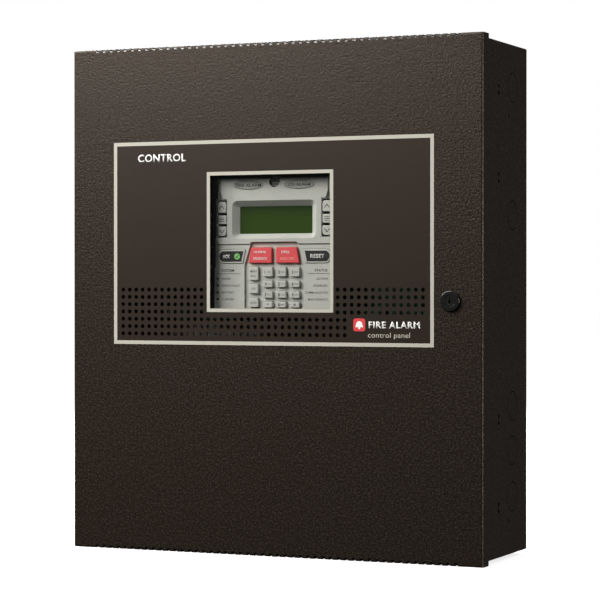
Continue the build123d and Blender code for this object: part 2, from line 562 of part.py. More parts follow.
def make_transformer_core():
    """Laminated shell core with two windows and folded mounting feet."""
    window_w = (CORE_W - 4 * CORE_LEG) / 2
    core = Rectangle(CORE_W, CORE_H)
    for side in (1, -1):
        core -= Pos(side * (CORE_LEG + window_w / 2), 0) * Rectangle(window_w, CORE_H - 2 * CORE_LEG)
    body = slab(Pos(CORE_X, CORE_Z) * core, CORE_Y0, CORE_Y1)
    z0, z1 = CORE_Z - FOOT_HALF_H, CORE_Z + FOOT_HALF_H
    for side in (1, -1):
        x_in = CORE_X + side * (CORE_W / 2 - CORE_FOOT_T)
        x_out = CORE_X + side * CORE_W / 2
        x_toe = CORE_X + side * (CORE_W / 2 + CORE_TOE)
        body += block(min(x_in, x_out), max(x_in, x_out), CORE_Y1, CHASSIS_FACE, z0, z1)
        body += block(min(x_in, x_toe), max(x_in, x_toe), CHASSIS_FACE - CORE_FOOT_T,
                      CHASSIS_FACE, z0, z1)
    return body


def make_transformer_coil():
    """Wound coil around the middle leg of the core."""
    reach, half_h = CORE_LEG + COIL_BUILD, CORE_H / 2 - CORE_LEG - COIL_FIT
    coil = block(CORE_X - reach, CORE_X + reach, CORE_Y0 - COIL_PROUD, CHASSIS_FACE - COIL_FIT,
                 CORE_Z - half_h, CORE_Z + half_h)
    coil = fillet(coil.edges().filter_by(Axis.Z), 4.0)
    bore = CORE_LEG + COIL_FIT
    return coil - block(CORE_X - bore, CORE_X + bore, CORE_Y0 - COIL_FIT, CORE_Y1 + COIL_FIT,
                        CORE_Z - CORE_H, CORE_Z + CORE_H)


# ---------------------------------------------------------------- keypad
def keypad_outline(shrink=0.0):
    """Outline of the keypad's base: four widths stepped up its height."""
    low, mid, top, brow = (w - shrink for w in (KEYPAD_LOW_W, KEYPAD_MID_W,
                                                KEYPAD_TOP_W, KEYPAD_BROW_W))
    z_low, z_mid, z_top = (z - shrink for z in (KEYPAD_STEP_LOW, KEYPAD_STEP_HIGH, HOOD_NOTCH_Z))
    return polygon(mirrored([(low, KEYPAD_Z0 + shrink), (low, z_low), (mid, z_low + 1.2),
                             (mid, z_mid), (top, z_mid + 0.8), (top, z_top), (brow, z_top + 0.8),
                             (brow, KEYPAD_Z1 - shrink)]))


def hood_outline():
    """Raised hood: full-width foot, narrower body beside the side keys, brow with slanted horns."""
    return polygon(mirrored([(KEYPAD_MID_W, HOOD_Z0), (KEYPAD_MID_W, KEYPAD_STEP_HIGH),
                             (KEYPAD_TOP_W, KEYPAD_STEP_HIGH + 0.8), (KEYPAD_TOP_W, HOOD_SHELF_Z),
                             (HOOD_BODY_W, HOOD_SHELF_Z), (HOOD_BODY_W, HOOD_NOTCH_Z),
                             (HOOD_LOW_W, HOOD_NOTCH_Z), (HOOD_TOP_W, HOOD_SLANT_Z),
                             (HOOD_TOP_W, KEYPAD_Z1)]))


def hood_hollow():
    """Hollow behind the skin of the hood's body and brow."""
    body, low, top = (w - HOOD_SKIN for w in (HOOD_BODY_W, HOOD_LOW_W, HOOD_TOP_W))
    z_notch = HOOD_NOTCH_Z + HOOD_SKIN
    return polygon(mirrored([(body, HOOD_SHELF_Z), (body, z_notch), (low, z_notch),
                             (top, HOOD_SLANT_Z), (top, KEYPAD_Z1 - HOOD_SKIN)]))


def field_outline():
    """Sunk field around the red keys and the number keys."""
    corners = [(FIELD_LOW_W, FIELD_Z0), (FIELD_LOW_W, FIELD_BEND_Z), (FIELD_TOP_W, FIELD_Z1)]
    return rounded(polygon(mirrored(corners)), 1.8)


def lens_outline(side, grow=0.0):
    """Long oval of an alarm lens: two shallow arcs over a shared chord, with rounded ends."""
    half, rise = LENS_HALF + grow, LENS_RISE + grow
    upper = ThreePointArc((-half, 0), (0, rise), (half, 0))
    lower = ThreePointArc((half, 0), (0, -rise), (-half, 0))
    return Pos(side * LENS_X, LENS_Z) * rounded(make_face([upper, lower]), 1.5)


def lens_grooves(side):
    """Dark grooves that follow the upper and lower arcs of a lens and stop before its ends."""
    arcs = lens_outline(side, LENS_FIT + LENS_GROOVE_W) - lens_outline(side, LENS_FIT)
    length = 2 * (LENS_HALF - LENS_GROOVE_END)
    return arcs & Pos(side * LENS_X, LENS_Z) * Rectangle(length, 3 * LENS_RISE)


def pill_outline(side, grow=0.0):
    """Acknowledge and reset caps: slanted inner end and a half-round outer end."""
    z0, z1 = PILL_Z0 - grow, PILL_Z1 + grow
    z_mid, bulge = (z0 + z1) / 2, (z1 - z0) / 2
    shoulder = PILL_OUTER + grow - bulge
    body = polygon([(PILL_BOTTOM - grow, z0), (PILL_TOP - grow, z1), (shoulder, z1), (shoulder, z0)])
    body = fillet(body.vertices().sort_by(Axis.X)[:2], 1.2) + Pos(shoulder, z_mid) * Circle(bulge)
    return body if side > 0 else mirror(body, Plane.YZ)


def red_outline(side, grow=0.0):
    """Silence and drill caps: square inner edge and slanted outer edge."""
    z0, z1 = RED_Z0 - grow, RED_Z1 + grow
    points = [(RED_INNER - grow, z0), (RED_BOTTOM + grow, z0),
              (RED_TOP + grow, z1), (RED_INNER - grow, z1)]
    return rounded(polygon([(side * x, z) for x, z in points]), 0.8)


def number_outline(column, row, grow=0.0):
    """Number key: small corner radii, larger at the outer corners of the bottom row."""
    z0, z1 = NUMBER_ROWS[row]
    w, h = NUMBER_W + 2 * grow, z1 - z0 + 2 * grow
    return Pos(NUMBER_XS[column], (z0 + z1) / 2) * RectangleRounded(w, h, 1.0)


def tall_outline(row, grow=0.0):
    """Function key to the left of the number keys."""
    z0, z1 = TALL_ROWS[row]
    return Pos(TALL_X, (z0 + z1) / 2) * RectangleRounded(TALL_W + 2 * grow, z1 - z0 + 2 * grow, 1.0)


def side_outline(side, row, grow=0.0):
    """Scroll and menu keys beside the display: the end keys have rounded far corners."""
    z0, z1 = SIDE_ROWS[row]
    x = side * (SIDE_KEY_X0 + SIDE_KEY_X1) / 2
    face = Pos(x, (z0 + z1) / 2) * Rectangle(SIDE_KEY_X1 - SIDE_KEY_X0 + 2 * grow, z1 - z0 + 2 * grow)
    far = face.vertices().sort_by(Axis.Y)
    if row == 0:
        return fillet(far[-2:], 3.0)
    if row == 2:
        return fillet(far[:2], 3.0)
    return face


def key_plan():
    """Every key: node name, outline function and whether it stands in the sunk field."""
    plan = []
    for side, hand in ((-1, "left"), (1, "right")):
        for row, use in enumerate(("scroll_up", "menu", "scroll_down")):
            plan.append((f"key_{use}_{hand}", lambda g, s=side, r=row: side_outline(s, r, g), False))
    plan.append(("key_acknowledge", lambda g: pill_outline(-1, g), False))
    plan.append(("key_reset", lambda g: pill_outline(1, g), False))
    plan.append(("key_silence", lambda g: red_outline(-1, g), True))
    plan.append(("key_drill", lambda g: red_outline(1, g), True))
    for row, use in enumerate(("function", "clear", "enter")):
        plan.append((f"key_{use}", lambda g, r=row: tall_outline(r, g), True))
    for number, use in enumerate(NUMBER_KEYS):
        plan.append((f"key_{use}",
                     lambda g, c=number % 3, r=number // 3: number_outline(c, r, g), True))
    return plan


def span(x0, x1, y0, y1, z0, z1, side):
    """A box between two distances from the centre line, on the right (1) or the left (-1)."""
    return block(min(side * x0, side * x1), max(side * x0, side * x1), y0, y1, z0, z1)


def side_key_pocket(side):
    """Opening in which three side keys stand with dark gaps between them."""
    return span(SIDE_POCKET_X0, SIDE_POCKET_X1, HOOD_FACE - 1, KEYPAD_FACE + KEYPAD_T + 1,
                SIDE_ROWS[2][0] - SIDE_POCKET_END, SIDE_ROWS[0][1] + SIDE_POCKET_END, side)


def frustum(y_front, y_back, grow):
    """Tapering display recess between the hood face and the glass."""
    def section(half_w, z0, z1, radius, y):
        face = Pos(0, (z0 + z1) / 2) * RectangleRounded(2 * (half_w + grow), z1 - z0 + 2 * grow, radius)
        return Plane.XZ.offset(-y) * face
    front = section(RECESS_W, RECESS_Z0, RECESS_Z1, RECESS_R, y_front)
    back = section(LCD_W, LCD_Z0, LCD_Z1, 1.0, y_back)
    return loft([front, back])


def in_place(shape):
    """Move keypad geometry drawn about x = 0 to the keypad's centre line."""
    return Pos(KEYPAD_X, 0, 0) * shape


def make_bezel():
    """Moulded keypad front: stepped base plate, rim, raised hood and sunk key field."""
    plate_back = KEYPAD_FACE + KEYPAD_T
    outline = keypad_outline()
    bezel = slab(outline, KEYPAD_FACE, plate_back)
    bezel += slab(outline, plate_back, KEYPAD_REAR) - slab(keypad_outline(KEYPAD_WALL),
                                                           plate_back - 1, KEYPAD_REAR + 1)
    hood = slab(hood_outline(), HOOD_FACE, KEYPAD_FACE + 0.5)
    bezel += chamfer(hood.faces().sort_by(Axis.Y)[0].edges(), HOOD_CHAMFER)
    bezel -= slab(hood_hollow(), HOOD_FACE + HOOD_SKIN, plate_back + 1)
    bezel += frustum(HOOD_FACE + HOOD_SKIN / 2, LCD_FACE, RECESS_WALL)
    bezel -= frustum(HOOD_FACE - 0.01, LCD_FACE + 0.01, 0.0)
    bezel -= slab(field_outline(), HOOD_FACE - 1, FIELD_FLOOR)
    cuts = []
    for name, outline_of, _ in key_plan():
        if "_left" not in name and "_right" not in name:
            cuts.append(slab(outline_of(KEY_FIT), HOOD_FACE - 1, plate_back + 1))
    for side in (1, -1):
        cuts.append(side_key_pocket(side))
        horn = polygon([(side * x, z) for x, z in HORN_POCKET])
        cuts.append(slab(horn, HOOD_FACE - 1, FIELD_FLOOR))
        cuts.append(span(GROOVE_X0, KEYPAD_MID_W + 1, KEYPAD_FACE - 1, KEYPAD_FACE + GROOVE_DEPTH,
                         GROOVE_Z0, GROOVE_Z1, side))
        cuts.append(slab(lens_outline(side, LENS_FIT), HOOD_FACE - 1, plate_back + 1))
        cuts.append(slab(lens_grooves(side), HOOD_FACE - 1, HOOD_FACE + LENS_GROOVE_DEPTH))
        for z in LED_ZS:
            cuts.append(rod_y(side * LED_X, z, KEYPAD_FACE - 1, plate_back + 1, LED_R + LED_FIT))
        for z in KEYPAD_POST_ZS:
            cuts.append(rod_y(side * KEYPAD_POST_X, z, plate_back, KEYPAD_REAR + 1, POST_CLEAR_R))
    radius = SOUNDER_R + SOUNDER_FIT
    cuts.append(rod_y(SOUNDER_X, SOUNDER_Z, HOOD_FACE - 1, KEYPAD_REAR + 1, radius))
    cuts.append(block(SOUNDER_X - radius, SOUNDER_X + radius, HOOD_FACE - 1, KEYPAD_REAR + 1,
                      SOUNDER_Z, KEYPAD_Z1 + 1))
    return in_place(bezel - cuts)


def make_alarm_lenses():
    """The two translucent alarm lenses set into the hood."""
    return group(*[in_place(slab(lens_outline(side), HOOD_FACE - LENS_PROUD,
                                 HOOD_FACE + LENS_DEPTH)) for side in (-1, 1)])


def make_sounder():
    """Piezo sounder seated in the notch at the top of the hood, with a slotted face."""
    y0, y1 = SOUNDER_FACE - 1, SOUNDER_FACE + SOUNDER_PORT_DEPTH
    body = rod_y(SOUNDER_X, SOUNDER_Z, SOUNDER_FACE, KEYPAD_REAR, SOUNDER_R)
    body = fillet(body.edges().sort_by(Axis.Y)[0], 0.6)
    body -= rod_y(SOUNDER_X, SOUNDER_Z, y0, y1, SOUNDER_PORT_R)
    for number in range(6):
        angle = number * pi / 3
        body -= rod_y(SOUNDER_X + SOUNDER_RING_R * cos(angle),
                      SOUNDER_Z + SOUNDER_RING_R * sin(angle), y0, y1, SOUNDER_SLOT_R)
    return in_place(body)


def make_lcd():
    """Display module: metal-framed glass behind the recess."""
    frame = block(-LCD_W - LCD_FRAME, LCD_W + LCD_FRAME, LCD_FACE, KEYPAD_REAR,
                  LCD_Z0 - LCD_FRAME, LCD_Z1 + LCD_FRAME)
    return in_place(fillet(frame.edges().filter_by(Axis.Y), 1.0))


def make_keypad_board():
    """Keypad circuit board with its post holes."""
    outline = keypad_outline(0.4)
    board = slab(outline, KEYPAD_REAR, KEYPAD_REAR + KEYPAD_BOARD_T)
    for x, z in keypad_posts():
        board -= rod_y(x - KEYPAD_X, z, KEYPAD_REAR - 1, KEYPAD_REAR + 3, SCREW_R + 0.2)
    return in_place(board)


def key_centre(outline_of):
    """Middle of a key's outline."""
    return outline_of(0).center(CenterOf.BOUNDING_BOX)


def make_key_mat():
    """Silicone mat with a spring dome under every key, in three pads around the display."""
    y0, y1 = MAT_FACE, MAT_FACE + MAT_T
    low = block(-MAT_HALF_W, MAT_HALF_W, y0, y1, MAT_Z0, MAT_Z1)
    for side in (1, -1):
        low += span(MAT_SIDE_X, MAT_HALF_W, y0, y1, MAT_Z1, MAT_SIDE_Z1, side)
        for z in KEYPAD_POST_ZS:
            low -= rod_y(side * KEYPAD_POST_X, z, y0 - 1, y1 + 1, POST_CLEAR_R + 0.5)
        for z in LED_ZS:
            low -= rod_y(side * LED_X, z, y0 - 1, y1 + 1, LED_R + 0.9)
    for _, outline_of, _ in key_plan():
        centre = key_centre(outline_of)
        low += rod_y(centre.X, centre.Y, y0 - DOME_H, y0, DOME_R)
    low += block(-MAT_FOOT_W, MAT_FOOT_W, y1, KEYPAD_REAR, MAT_FOOT_Z0, MAT_FOOT_Z1)
    return in_place(low)


def make_leds():
    """Status lamps: four down each side of the key field."""
    lamps = []
    for side in (-1, 1):
        for z in LED_ZS:
            lamp = rod_y(side * LED_X, z, KEYPAD_FACE - 0.4, KEYPAD_REAR, LED_R)
            lamps.append(in_place(fillet(lamp.edges().sort_by(Axis.Y)[0], 0.5)))
    return group(*lamps)


def make_key(outline_of, in_field, name):
    """Key cap with a softened face, a retaining flange behind the plate and a stem."""
    front = KEYPAD_FACE - (PROUD_FIELD if in_field else PROUD_BASE)
    cap = slab(outline_of(0), front, KEY_FLANGE_FRONT)
    cap = chamfer(cap.faces().sort_by(Axis.Y)[0].edges(), 0.45)
    centre = key_centre(outline_of)
    if "_left" in name or "_right" in name:
        flange = slab(outline_of(0), KEY_FLANGE_FRONT, KEY_FLANGE_FRONT + KEY_FLANGE_T)
    else:
        flange = slab(outline_of(KEY_FIT + KEY_FLANGE), KEY_FLANGE_FRONT,
                      KEY_FLANGE_FRONT + KEY_FLANGE_T)
    stem = rod_y(centre.X, centre.Y, KEY_FLANGE_FRONT + KEY_FLANGE_T, KEY_REAR, 2.2)
    return in_place(cap + flange + stem)


# ---------------------------------------------------------------- batteries
def tab_places():
    """Terminal tabs: negative then positive on each battery."""
    reach = BATTERY_W / 2 - TAB_INSET
    return [x + side * reach for x in BATTERY_XS.values() for side in (-1, 1)]


def make_battery(x):
    """Sealed lead-acid battery: case, lid step and vent strip."""
    y0, y1, lid_z = BATTERY_Y1 - BATTERY_D, BATTERY_Y1, BATTERY_TOP - BATTERY_LID_H
    x0, x1, step = x - BATTERY_W / 2, x + BATTERY_W / 2, BATTERY_LID_STEP
    case = block(x0, x1, y0, y1, BATTERY_Z0, lid_z)
    case = fillet(case.edges().filter_by(Axis.Z), 2.5)
    lid = block(x0 + step, x1 - step, y0 + step, y1 - step, lid_z, BATTERY_TOP)
    lid = fillet(lid.edges().filter_by(Axis.Z), 2.0)
    strip = block(x - VENT_STRIP_W / 2, x + VENT_STRIP_W / 2, y0 + VENT_STRIP_INSET,
                  y1 - VENT_STRIP_INSET, BATTERY_TOP, BATTERY_TOP + VENT_STRIP_H)
    return case + lid + strip


def make_terminals():
    """Spade tabs on the battery lids."""
    return group(*[block(x - TAB_W / 2, x + TAB_W / 2, TAB_Y - TAB_T / 2, TAB_Y + TAB_T / 2,
                         BATTERY_TOP, BATTERY_TOP + TAB_H) for x in tab_places()])


def lead(points):
    """Insulated lead: straight runs joined by arcs, as large as the shorter run allows."""
    radii = []
    for before, corner, after in zip(points, points[1:], points[2:]):
        into, out = Vector(*corner) - Vector(*before), Vector(*after) - Vector(*corner)
        half_turn = into.get_angle(out) / 2 * pi / 180
        radii.append(0.45 * min(into.length, out.length) * cos(half_turn) / sin(half_turn))
    route = FilletPolyline(*points, radius=radii)
    section = Plane(origin=points[0], z_dir=Vector(*points[1]) - Vector(*points[0])) * Circle(LEAD_R)
    return sweep(section, path=route)


def crimp(x):
    """Insulated push-on connector over one spade tab."""
    sleeve = block(x - CRIMP_HALF_W, x + CRIMP_HALF_W, TAB_Y - CRIMP_HALF_T, TAB_Y + CRIMP_HALF_T,
                   CRIMP_Z0, CRIMP_Z0 + CRIMP_H)
    sleeve = fillet(sleeve.edges().filter_by(Axis.Z), 1.2)
    half_w, half_t = TAB_W / 2 + TAB_FIT, TAB_T / 2 + TAB_FIT
    return sleeve - block(x - half_w, x + half_w, TAB_Y - half_t, TAB_Y + half_t,
                          CRIMP_Z0 - 1, BATTERY_TOP + TAB_H + 0.2)


def tail(x_tab):
    """The first run of a lead, straight up out of its connector."""
    return [(x_tab, TAB_Y, LEAD_Z0), (x_tab, TAB_Y, LEAD_Z0 + LEAD_RISE)]


def make_leads():
    """Red lead, black lead with the black link that joins the two batteries in series."""
    left_minus, left_plus, right_minus, right_plus = tab_places()
    x_mid = (2 * right_plus + RED_LEAD_X) / 3
    red = crimp(right_plus) + lead(tail(right_plus) + [
        (x_mid, -84.0, LEAD_Z0 + 20.0), (RED_LEAD_X, -90.0, LEAD_END_Z - 50.0),
        (RED_LEAD_X, LEAD_Y, LEAD_END_Z - 14.0), (RED_LEAD_X, LEAD_Y, LEAD_END_Z)])
    black = crimp(left_minus) + lead(tail(left_minus) + [
        (left_minus + 12.0, TAB_Y - 8.0, LEAD_Z0 + 13.0), (-92.0, -110.0, LEAD_Z0 + 14.0),
        (-50.0, -108.0, LEAD_Z0 + 26.0), (-30.0, -92.0, LEAD_Z0 + 60.0),
        (BLACK_LEAD_X, LEAD_Y, LEAD_END_Z - 18.0), (BLACK_LEAD_X, LEAD_Y, LEAD_END_Z)])
    link = crimp(left_plus) + crimp(right_minus) + lead(tail(left_plus) + [
        (left_plus + 11.0, TAB_Y - 2.0, LEAD_Z0 + 12.0),
        (right_minus - 11.0, TAB_Y - 2.0, LEAD_Z0 + 12.0)] + tail(right_minus)[::-1])
    return red, group(black, link)


# ---------------------------------------------------------------- write every node
def main():
    os.makedirs("parts", exist_ok=True)
    red, black = make_leads()
    nodes = {
        "backbox": make_backbox(), "latch_strike": make_latch_strike(),
        "hinge_plates": make_hinge_plates(), "hinge_pins": make_hinge_pins(),
        "hinge_leaves": make_hinge_leaves(), "hinge_rivets": make_rivets(),
        "door": make_door(), "door_overlay": make_overlay(),
        "window_pane": make_pane(), "push_nuts": make_push_nuts(),
        "lock_body": make_lock_body(), "lock_nut": make_lock_nut(),
        "lock_plug": make_lock_plug(), "lock_cam": make_lock_cam(),
        "chassis_plate": make_chassis(), "standoffs": make_board_standoffs(),
        "machine_screws": make_screws(), "main_board": make_main_board(),
        "terminal_blocks": make_terminal_blocks(), "relays": make_relays(),
        "capacitors": make_capacitors(), "transformer_core": make_transformer_core(),
        "transformer_coil": make_transformer_coil(),
        "battery_terminals": make_terminals(),
        "battery_lead_red": red, "battery_lead_black": black,
        "keypad_bezel": make_bezel(), "lcd_display": make_lcd(),
        "keypad_board": make_keypad_board(), "key_mat": make_key_mat(),
        "status_leds": make_leds(), "alarm_lenses": make_alarm_lenses(),
        "sounder": make_sounder(),
    }
    for name, x in BATTERY_XS.items():
        nodes[name] = make_battery(x)
    for name, outline_of, in_field in key_plan():
        nodes[name] = make_key(outline_of, in_field, name)
    for name, shape in nodes.items():
        save(name, shape)
    print(len(nodes), "nodes")


main()
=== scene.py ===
"""Fire alarm control panel: looks, printed legends and small fittings around the CAD frame."""
import math

import bmesh
import bpy
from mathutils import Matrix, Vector


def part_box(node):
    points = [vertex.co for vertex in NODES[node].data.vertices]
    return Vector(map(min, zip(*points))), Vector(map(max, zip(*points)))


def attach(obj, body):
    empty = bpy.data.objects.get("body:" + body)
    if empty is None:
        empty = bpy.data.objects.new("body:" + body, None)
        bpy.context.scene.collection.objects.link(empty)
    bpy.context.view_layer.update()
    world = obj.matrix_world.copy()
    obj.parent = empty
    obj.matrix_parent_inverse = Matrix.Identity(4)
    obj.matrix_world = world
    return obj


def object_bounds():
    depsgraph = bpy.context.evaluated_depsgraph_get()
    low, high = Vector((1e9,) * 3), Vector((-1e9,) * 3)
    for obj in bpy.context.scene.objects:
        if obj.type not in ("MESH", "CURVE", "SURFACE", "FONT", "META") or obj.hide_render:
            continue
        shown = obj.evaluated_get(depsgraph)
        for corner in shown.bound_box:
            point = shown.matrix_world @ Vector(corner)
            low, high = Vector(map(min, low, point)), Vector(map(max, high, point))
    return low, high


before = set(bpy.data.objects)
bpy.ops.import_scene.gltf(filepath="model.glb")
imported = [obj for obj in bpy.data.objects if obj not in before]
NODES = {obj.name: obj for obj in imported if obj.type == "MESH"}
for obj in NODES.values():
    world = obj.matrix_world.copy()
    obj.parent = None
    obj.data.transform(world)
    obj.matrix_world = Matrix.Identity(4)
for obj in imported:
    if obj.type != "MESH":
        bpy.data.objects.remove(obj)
CAD_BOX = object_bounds()
MM = 0.001

CABINET, DOOR = "cabinet", "door"


# ---------------------------------------------------------------- places read from the frame
class Place:
    """Box of a CAD node with named sides."""

    def __init__(self, node):
        low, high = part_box(node)
        self.x0, self.y0, self.z0 = low
        self.x1, self.y1, self.z1 = high
        self.x, self.y, self.z = (low + high) / 2
        self.w, self.h = self.x1 - self.x0, self.z1 - self.z0


overlay = Place("door_overlay")
pane = Place("window_pane")
bezel = Place("keypad_bezel")
lcd = Place("lcd_display")
leds = Place("status_leds")
lenses = Place("alarm_lenses")
door = Place("door")
board = Place("main_board")

PRINT = 0.06 * MM               # thickness of a printed layer
BEZEL_BASE = bezel.y0 + 1.0 * MM   # the keypad's base plate lies behind its raised hood


# ---------------------------------------------------------------- materials
class Surface:
    """Builder for one procedural material on a Principled shader."""

    def __init__(self, name, color, roughness=0.5, metallic=0.0, **sockets):
        self.material = bpy.data.materials.new(name)
        self.material.use_nodes = True
        self.tree = self.material.node_tree
        self.shader = self.tree.nodes["Principled BSDF"]
        self.shader.inputs["Base Color"].default_value = (*color, 1.0)
        self.shader.inputs["Roughness"].default_value = roughness
        self.shader.inputs["Metallic"].default_value = metallic
        for socket, value in sockets.items():
            self.shader.inputs[socket.replace("_", " ")].default_value = value
        self.color, self.roughness = color, roughness
        self.coords = self.node("ShaderNodeTexCoord").outputs["Object"]
        self.normal = None
        self.paint = None

    def node(self, kind, **values):
        """Add a node and set its sockets by name."""
        made = self.tree.nodes.new(kind)
        for socket, value in values.items():
            made.inputs[socket.replace("_", " ")].default_value = value
        return made

    def link(self, source, target):
        self.tree.links.new(source, target)

    def noise(self, size, detail=3.0, roughness=0.55, stretch=(1.0, 1.0, 1.0)):
        """Noise with features of about the given size in metres."""
        mapping = self.node("ShaderNodeMapping")
        mapping.inputs["Scale"].default_value = stretch
        self.link(self.coords, mapping.inputs["Vector"])
        noise = self.node("ShaderNodeTexNoise", Scale=1.0 / size, Detail=detail, Roughness=roughness)
        self.link(mapping.outputs["Vector"], noise.inputs["Vector"])
        return noise.outputs["Fac"]

    def ramp(self, source, low, high, start=0.0, end=1.0):
        """Map a value range onto another."""
        node = self.node("ShaderNodeMapRange")
        node.inputs["From Min"].default_value = low
        node.inputs["From Max"].default_value = high
        node.inputs["To Min"].default_value = start
        node.inputs["To Max"].default_value = end
        self.link(source, node.inputs["Value"])
        return node.outputs["Result"]

    def tint(self, source, color, low=0.4, high=0.6, strength=1.0):
        """Mix a second colour in where the source value is high."""
        mix = self.tree.nodes.new("ShaderNodeMix")
        mix.data_type = "RGBA"
        self.link(self.ramp(source, low, high, 0.0, strength), mix.inputs["Factor"])
        if self.paint is None:
            mix.inputs["A"].default_value = (*self.color, 1.0)
        else:
            self.link(self.paint, mix.inputs["A"])
        mix.inputs["B"].default_value = (*color, 1.0)
        self.paint = mix.outputs["Result"]
        self.link(self.paint, self.shader.inputs["Base Color"])
        return self

    def uneven(self, source, spread):
        """Vary the roughness about its middle value."""
        rough = self.ramp(source, 0.3, 0.7, self.roughness - spread, self.roughness + spread)
        self.link(rough, self.shader.inputs["Roughness"])
        return self

    def bump(self, source, height, strength=1.0):
        """Raise the surface by the source value, over what is already there."""
        bump = self.node("ShaderNodeBump", Strength=strength, Distance=height)
        self.link(source, bump.inputs["Height"])
        if self.normal is not None:
            self.link(self.normal, bump.inputs["Normal"])
        self.normal = bump.outputs["Normal"]
        self.link(self.normal, self.shader.inputs["Normal"])
        return self

    def soft_edges(self, radius):
        """Round the sharp edges in the shading, as moulding and paint do."""
        node = self.tree.nodes.new("ShaderNodeBevel")
        node.samples = 4
        node.inputs["Radius"].default_value = radius
        self.normal = node.outputs["Normal"]
        self.link(self.normal, self.shader.inputs["Normal"])
        return self


def textured_paint(name, color, light, roughness=0.50):
    """Powder coat: pebbled grain whose crests catch the light, over faint cloudiness."""
    paint = Surface(name, color, roughness, Specular_Tint=(1.0, 0.86, 0.74, 1.0),
                    Specular_IOR_Level=0.36)
    grain = paint.noise(2.0 * MM, 3.0, 0.6)
    clouds = paint.noise(3.6 * MM, 2.0)
    paint.tint(grain, light, 0.48, 0.68, 0.75)
    paint.tint(clouds, [c * 0.72 for c in color], 0.50, 0.72, 0.35)
    paint.uneven(grain, 0.10)
    paint.bump(clouds, 0.12 * MM, 0.8)
    paint.bump(grain, 0.30 * MM, 1.0)
    return paint.material


def printed_film(name, color, roughness=0.45):
    """Satin polyester overlay with a very fine velvet grain."""
    film = Surface(name, color, roughness, Specular_Tint=(1.0, 0.86, 0.74, 1.0),
                   Specular_IOR_Level=0.34)
    grain = film.noise(0.4 * MM, 2.0)
    film.tint(film.noise(7.0 * MM, 3.0), [c * 0.85 for c in color], 0.45, 0.7, 0.5)
    film.uneven(grain, 0.06)
    film.bump(grain, 0.02 * MM, 0.6)
    return film.material


def moulded(name, color, roughness=0.45, grain_size=0.35, soft=0.35, height=0.02, **sockets):
    """Moulded plastic or rubber: fine spark-eroded grain, faint mottling and soft edges."""
    plastic = Surface(name, color, roughness, **sockets)
    plastic.soft_edges(soft * MM)
    grain = plastic.noise(grain_size * MM, 2.0)
    mottle = plastic.noise(9.0 * MM, 3.0)
    plastic.tint(mottle, [c * 0.86 for c in color], 0.45, 0.7, 0.5)
    plastic.uneven(grain, 0.06)
    plastic.bump(grain, height * MM, 0.7)
    return plastic.material


def metal(name, color, roughness=0.32, brushed=(1.0, 1.0, 1.0), tarnish=(0.20, 0.20, 0.19)):
    """Plated or rolled steel: drawn grain, dull patches and soft edges."""
    steel = Surface(name, color, roughness, 1.0)
    steel.soft_edges(0.2 * MM)
    lines = steel.noise(0.5 * MM, 3.0, 0.6, brushed)
    patches = steel.noise(14.0 * MM, 4.0)
    steel.tint(patches, tarnish, 0.5, 0.8, 0.45)
    steel.uneven(lines, 0.10)
    steel.bump(lines, 0.012 * MM, 0.6)
    return steel.material


def spangled(name):
    """Galvanised sheet: crystal spangles of different brightness."""
    sheet = Surface(name, (0.50, 0.51, 0.52), 0.42, 1.0)
    sheet.soft_edges(0.2 * MM)
    cells = sheet.node("ShaderNodeTexVoronoi", Scale=1.0 / (7.0 * MM))
    sheet.link(sheet.coords, cells.inputs["Vector"])
    split = sheet.node("ShaderNodeSeparateColor")
    sheet.link(cells.outputs["Color"], split.inputs["Color"])
    sheet.tint(split.outputs["Red"], (0.36, 0.37, 0.39), 0.0, 1.0, 0.6)
    sheet.uneven(split.outputs["Green"], 0.04)
    sheet.bump(sheet.noise(1.2 * MM), 0.01 * MM, 0.5)
    return sheet.material


def laminated(name):
    """Stacked transformer laminations: fine sheet lines through the depth."""
    core = Surface(name, (0.20, 0.20, 0.21), 0.45, 0.9)
    wave = core.node("ShaderNodeTexWave", Scale=0.25 / MM, Distortion=0.3, Detail=1.0)
    wave.bands_direction = "Y"
    core.link(core.coords, wave.inputs["Vector"])
    core.tint(wave.outputs["Fac"], (0.07, 0.07, 0.075), 0.55, 0.9, 0.8)
    core.bump(wave.outputs["Fac"], 0.1 * MM, 0.6)
    core.tint(core.noise(7.0 * MM), (0.26, 0.17, 0.10), 0.6, 0.8, 0.35)
    return core.material


def taped(name):
    """Wound coil under layers of polyester tape."""
    coil = Surface(name, (0.62, 0.46, 0.08), 0.28, 0.0, Coat_Weight=0.4, Coat_Roughness=0.15)
    wave = coil.node("ShaderNodeTexWave", Scale=0.12 / MM, Distortion=1.2, Detail=2.0)
    wave.bands_direction = "Z"
    coil.link(coil.coords, wave.inputs["Vector"])
    coil.tint(wave.outputs["Fac"], (0.42, 0.28, 0.04), 0.6, 0.95, 0.6)
    coil.bump(wave.outputs["Fac"], 0.12 * MM, 0.5)
    return coil.material


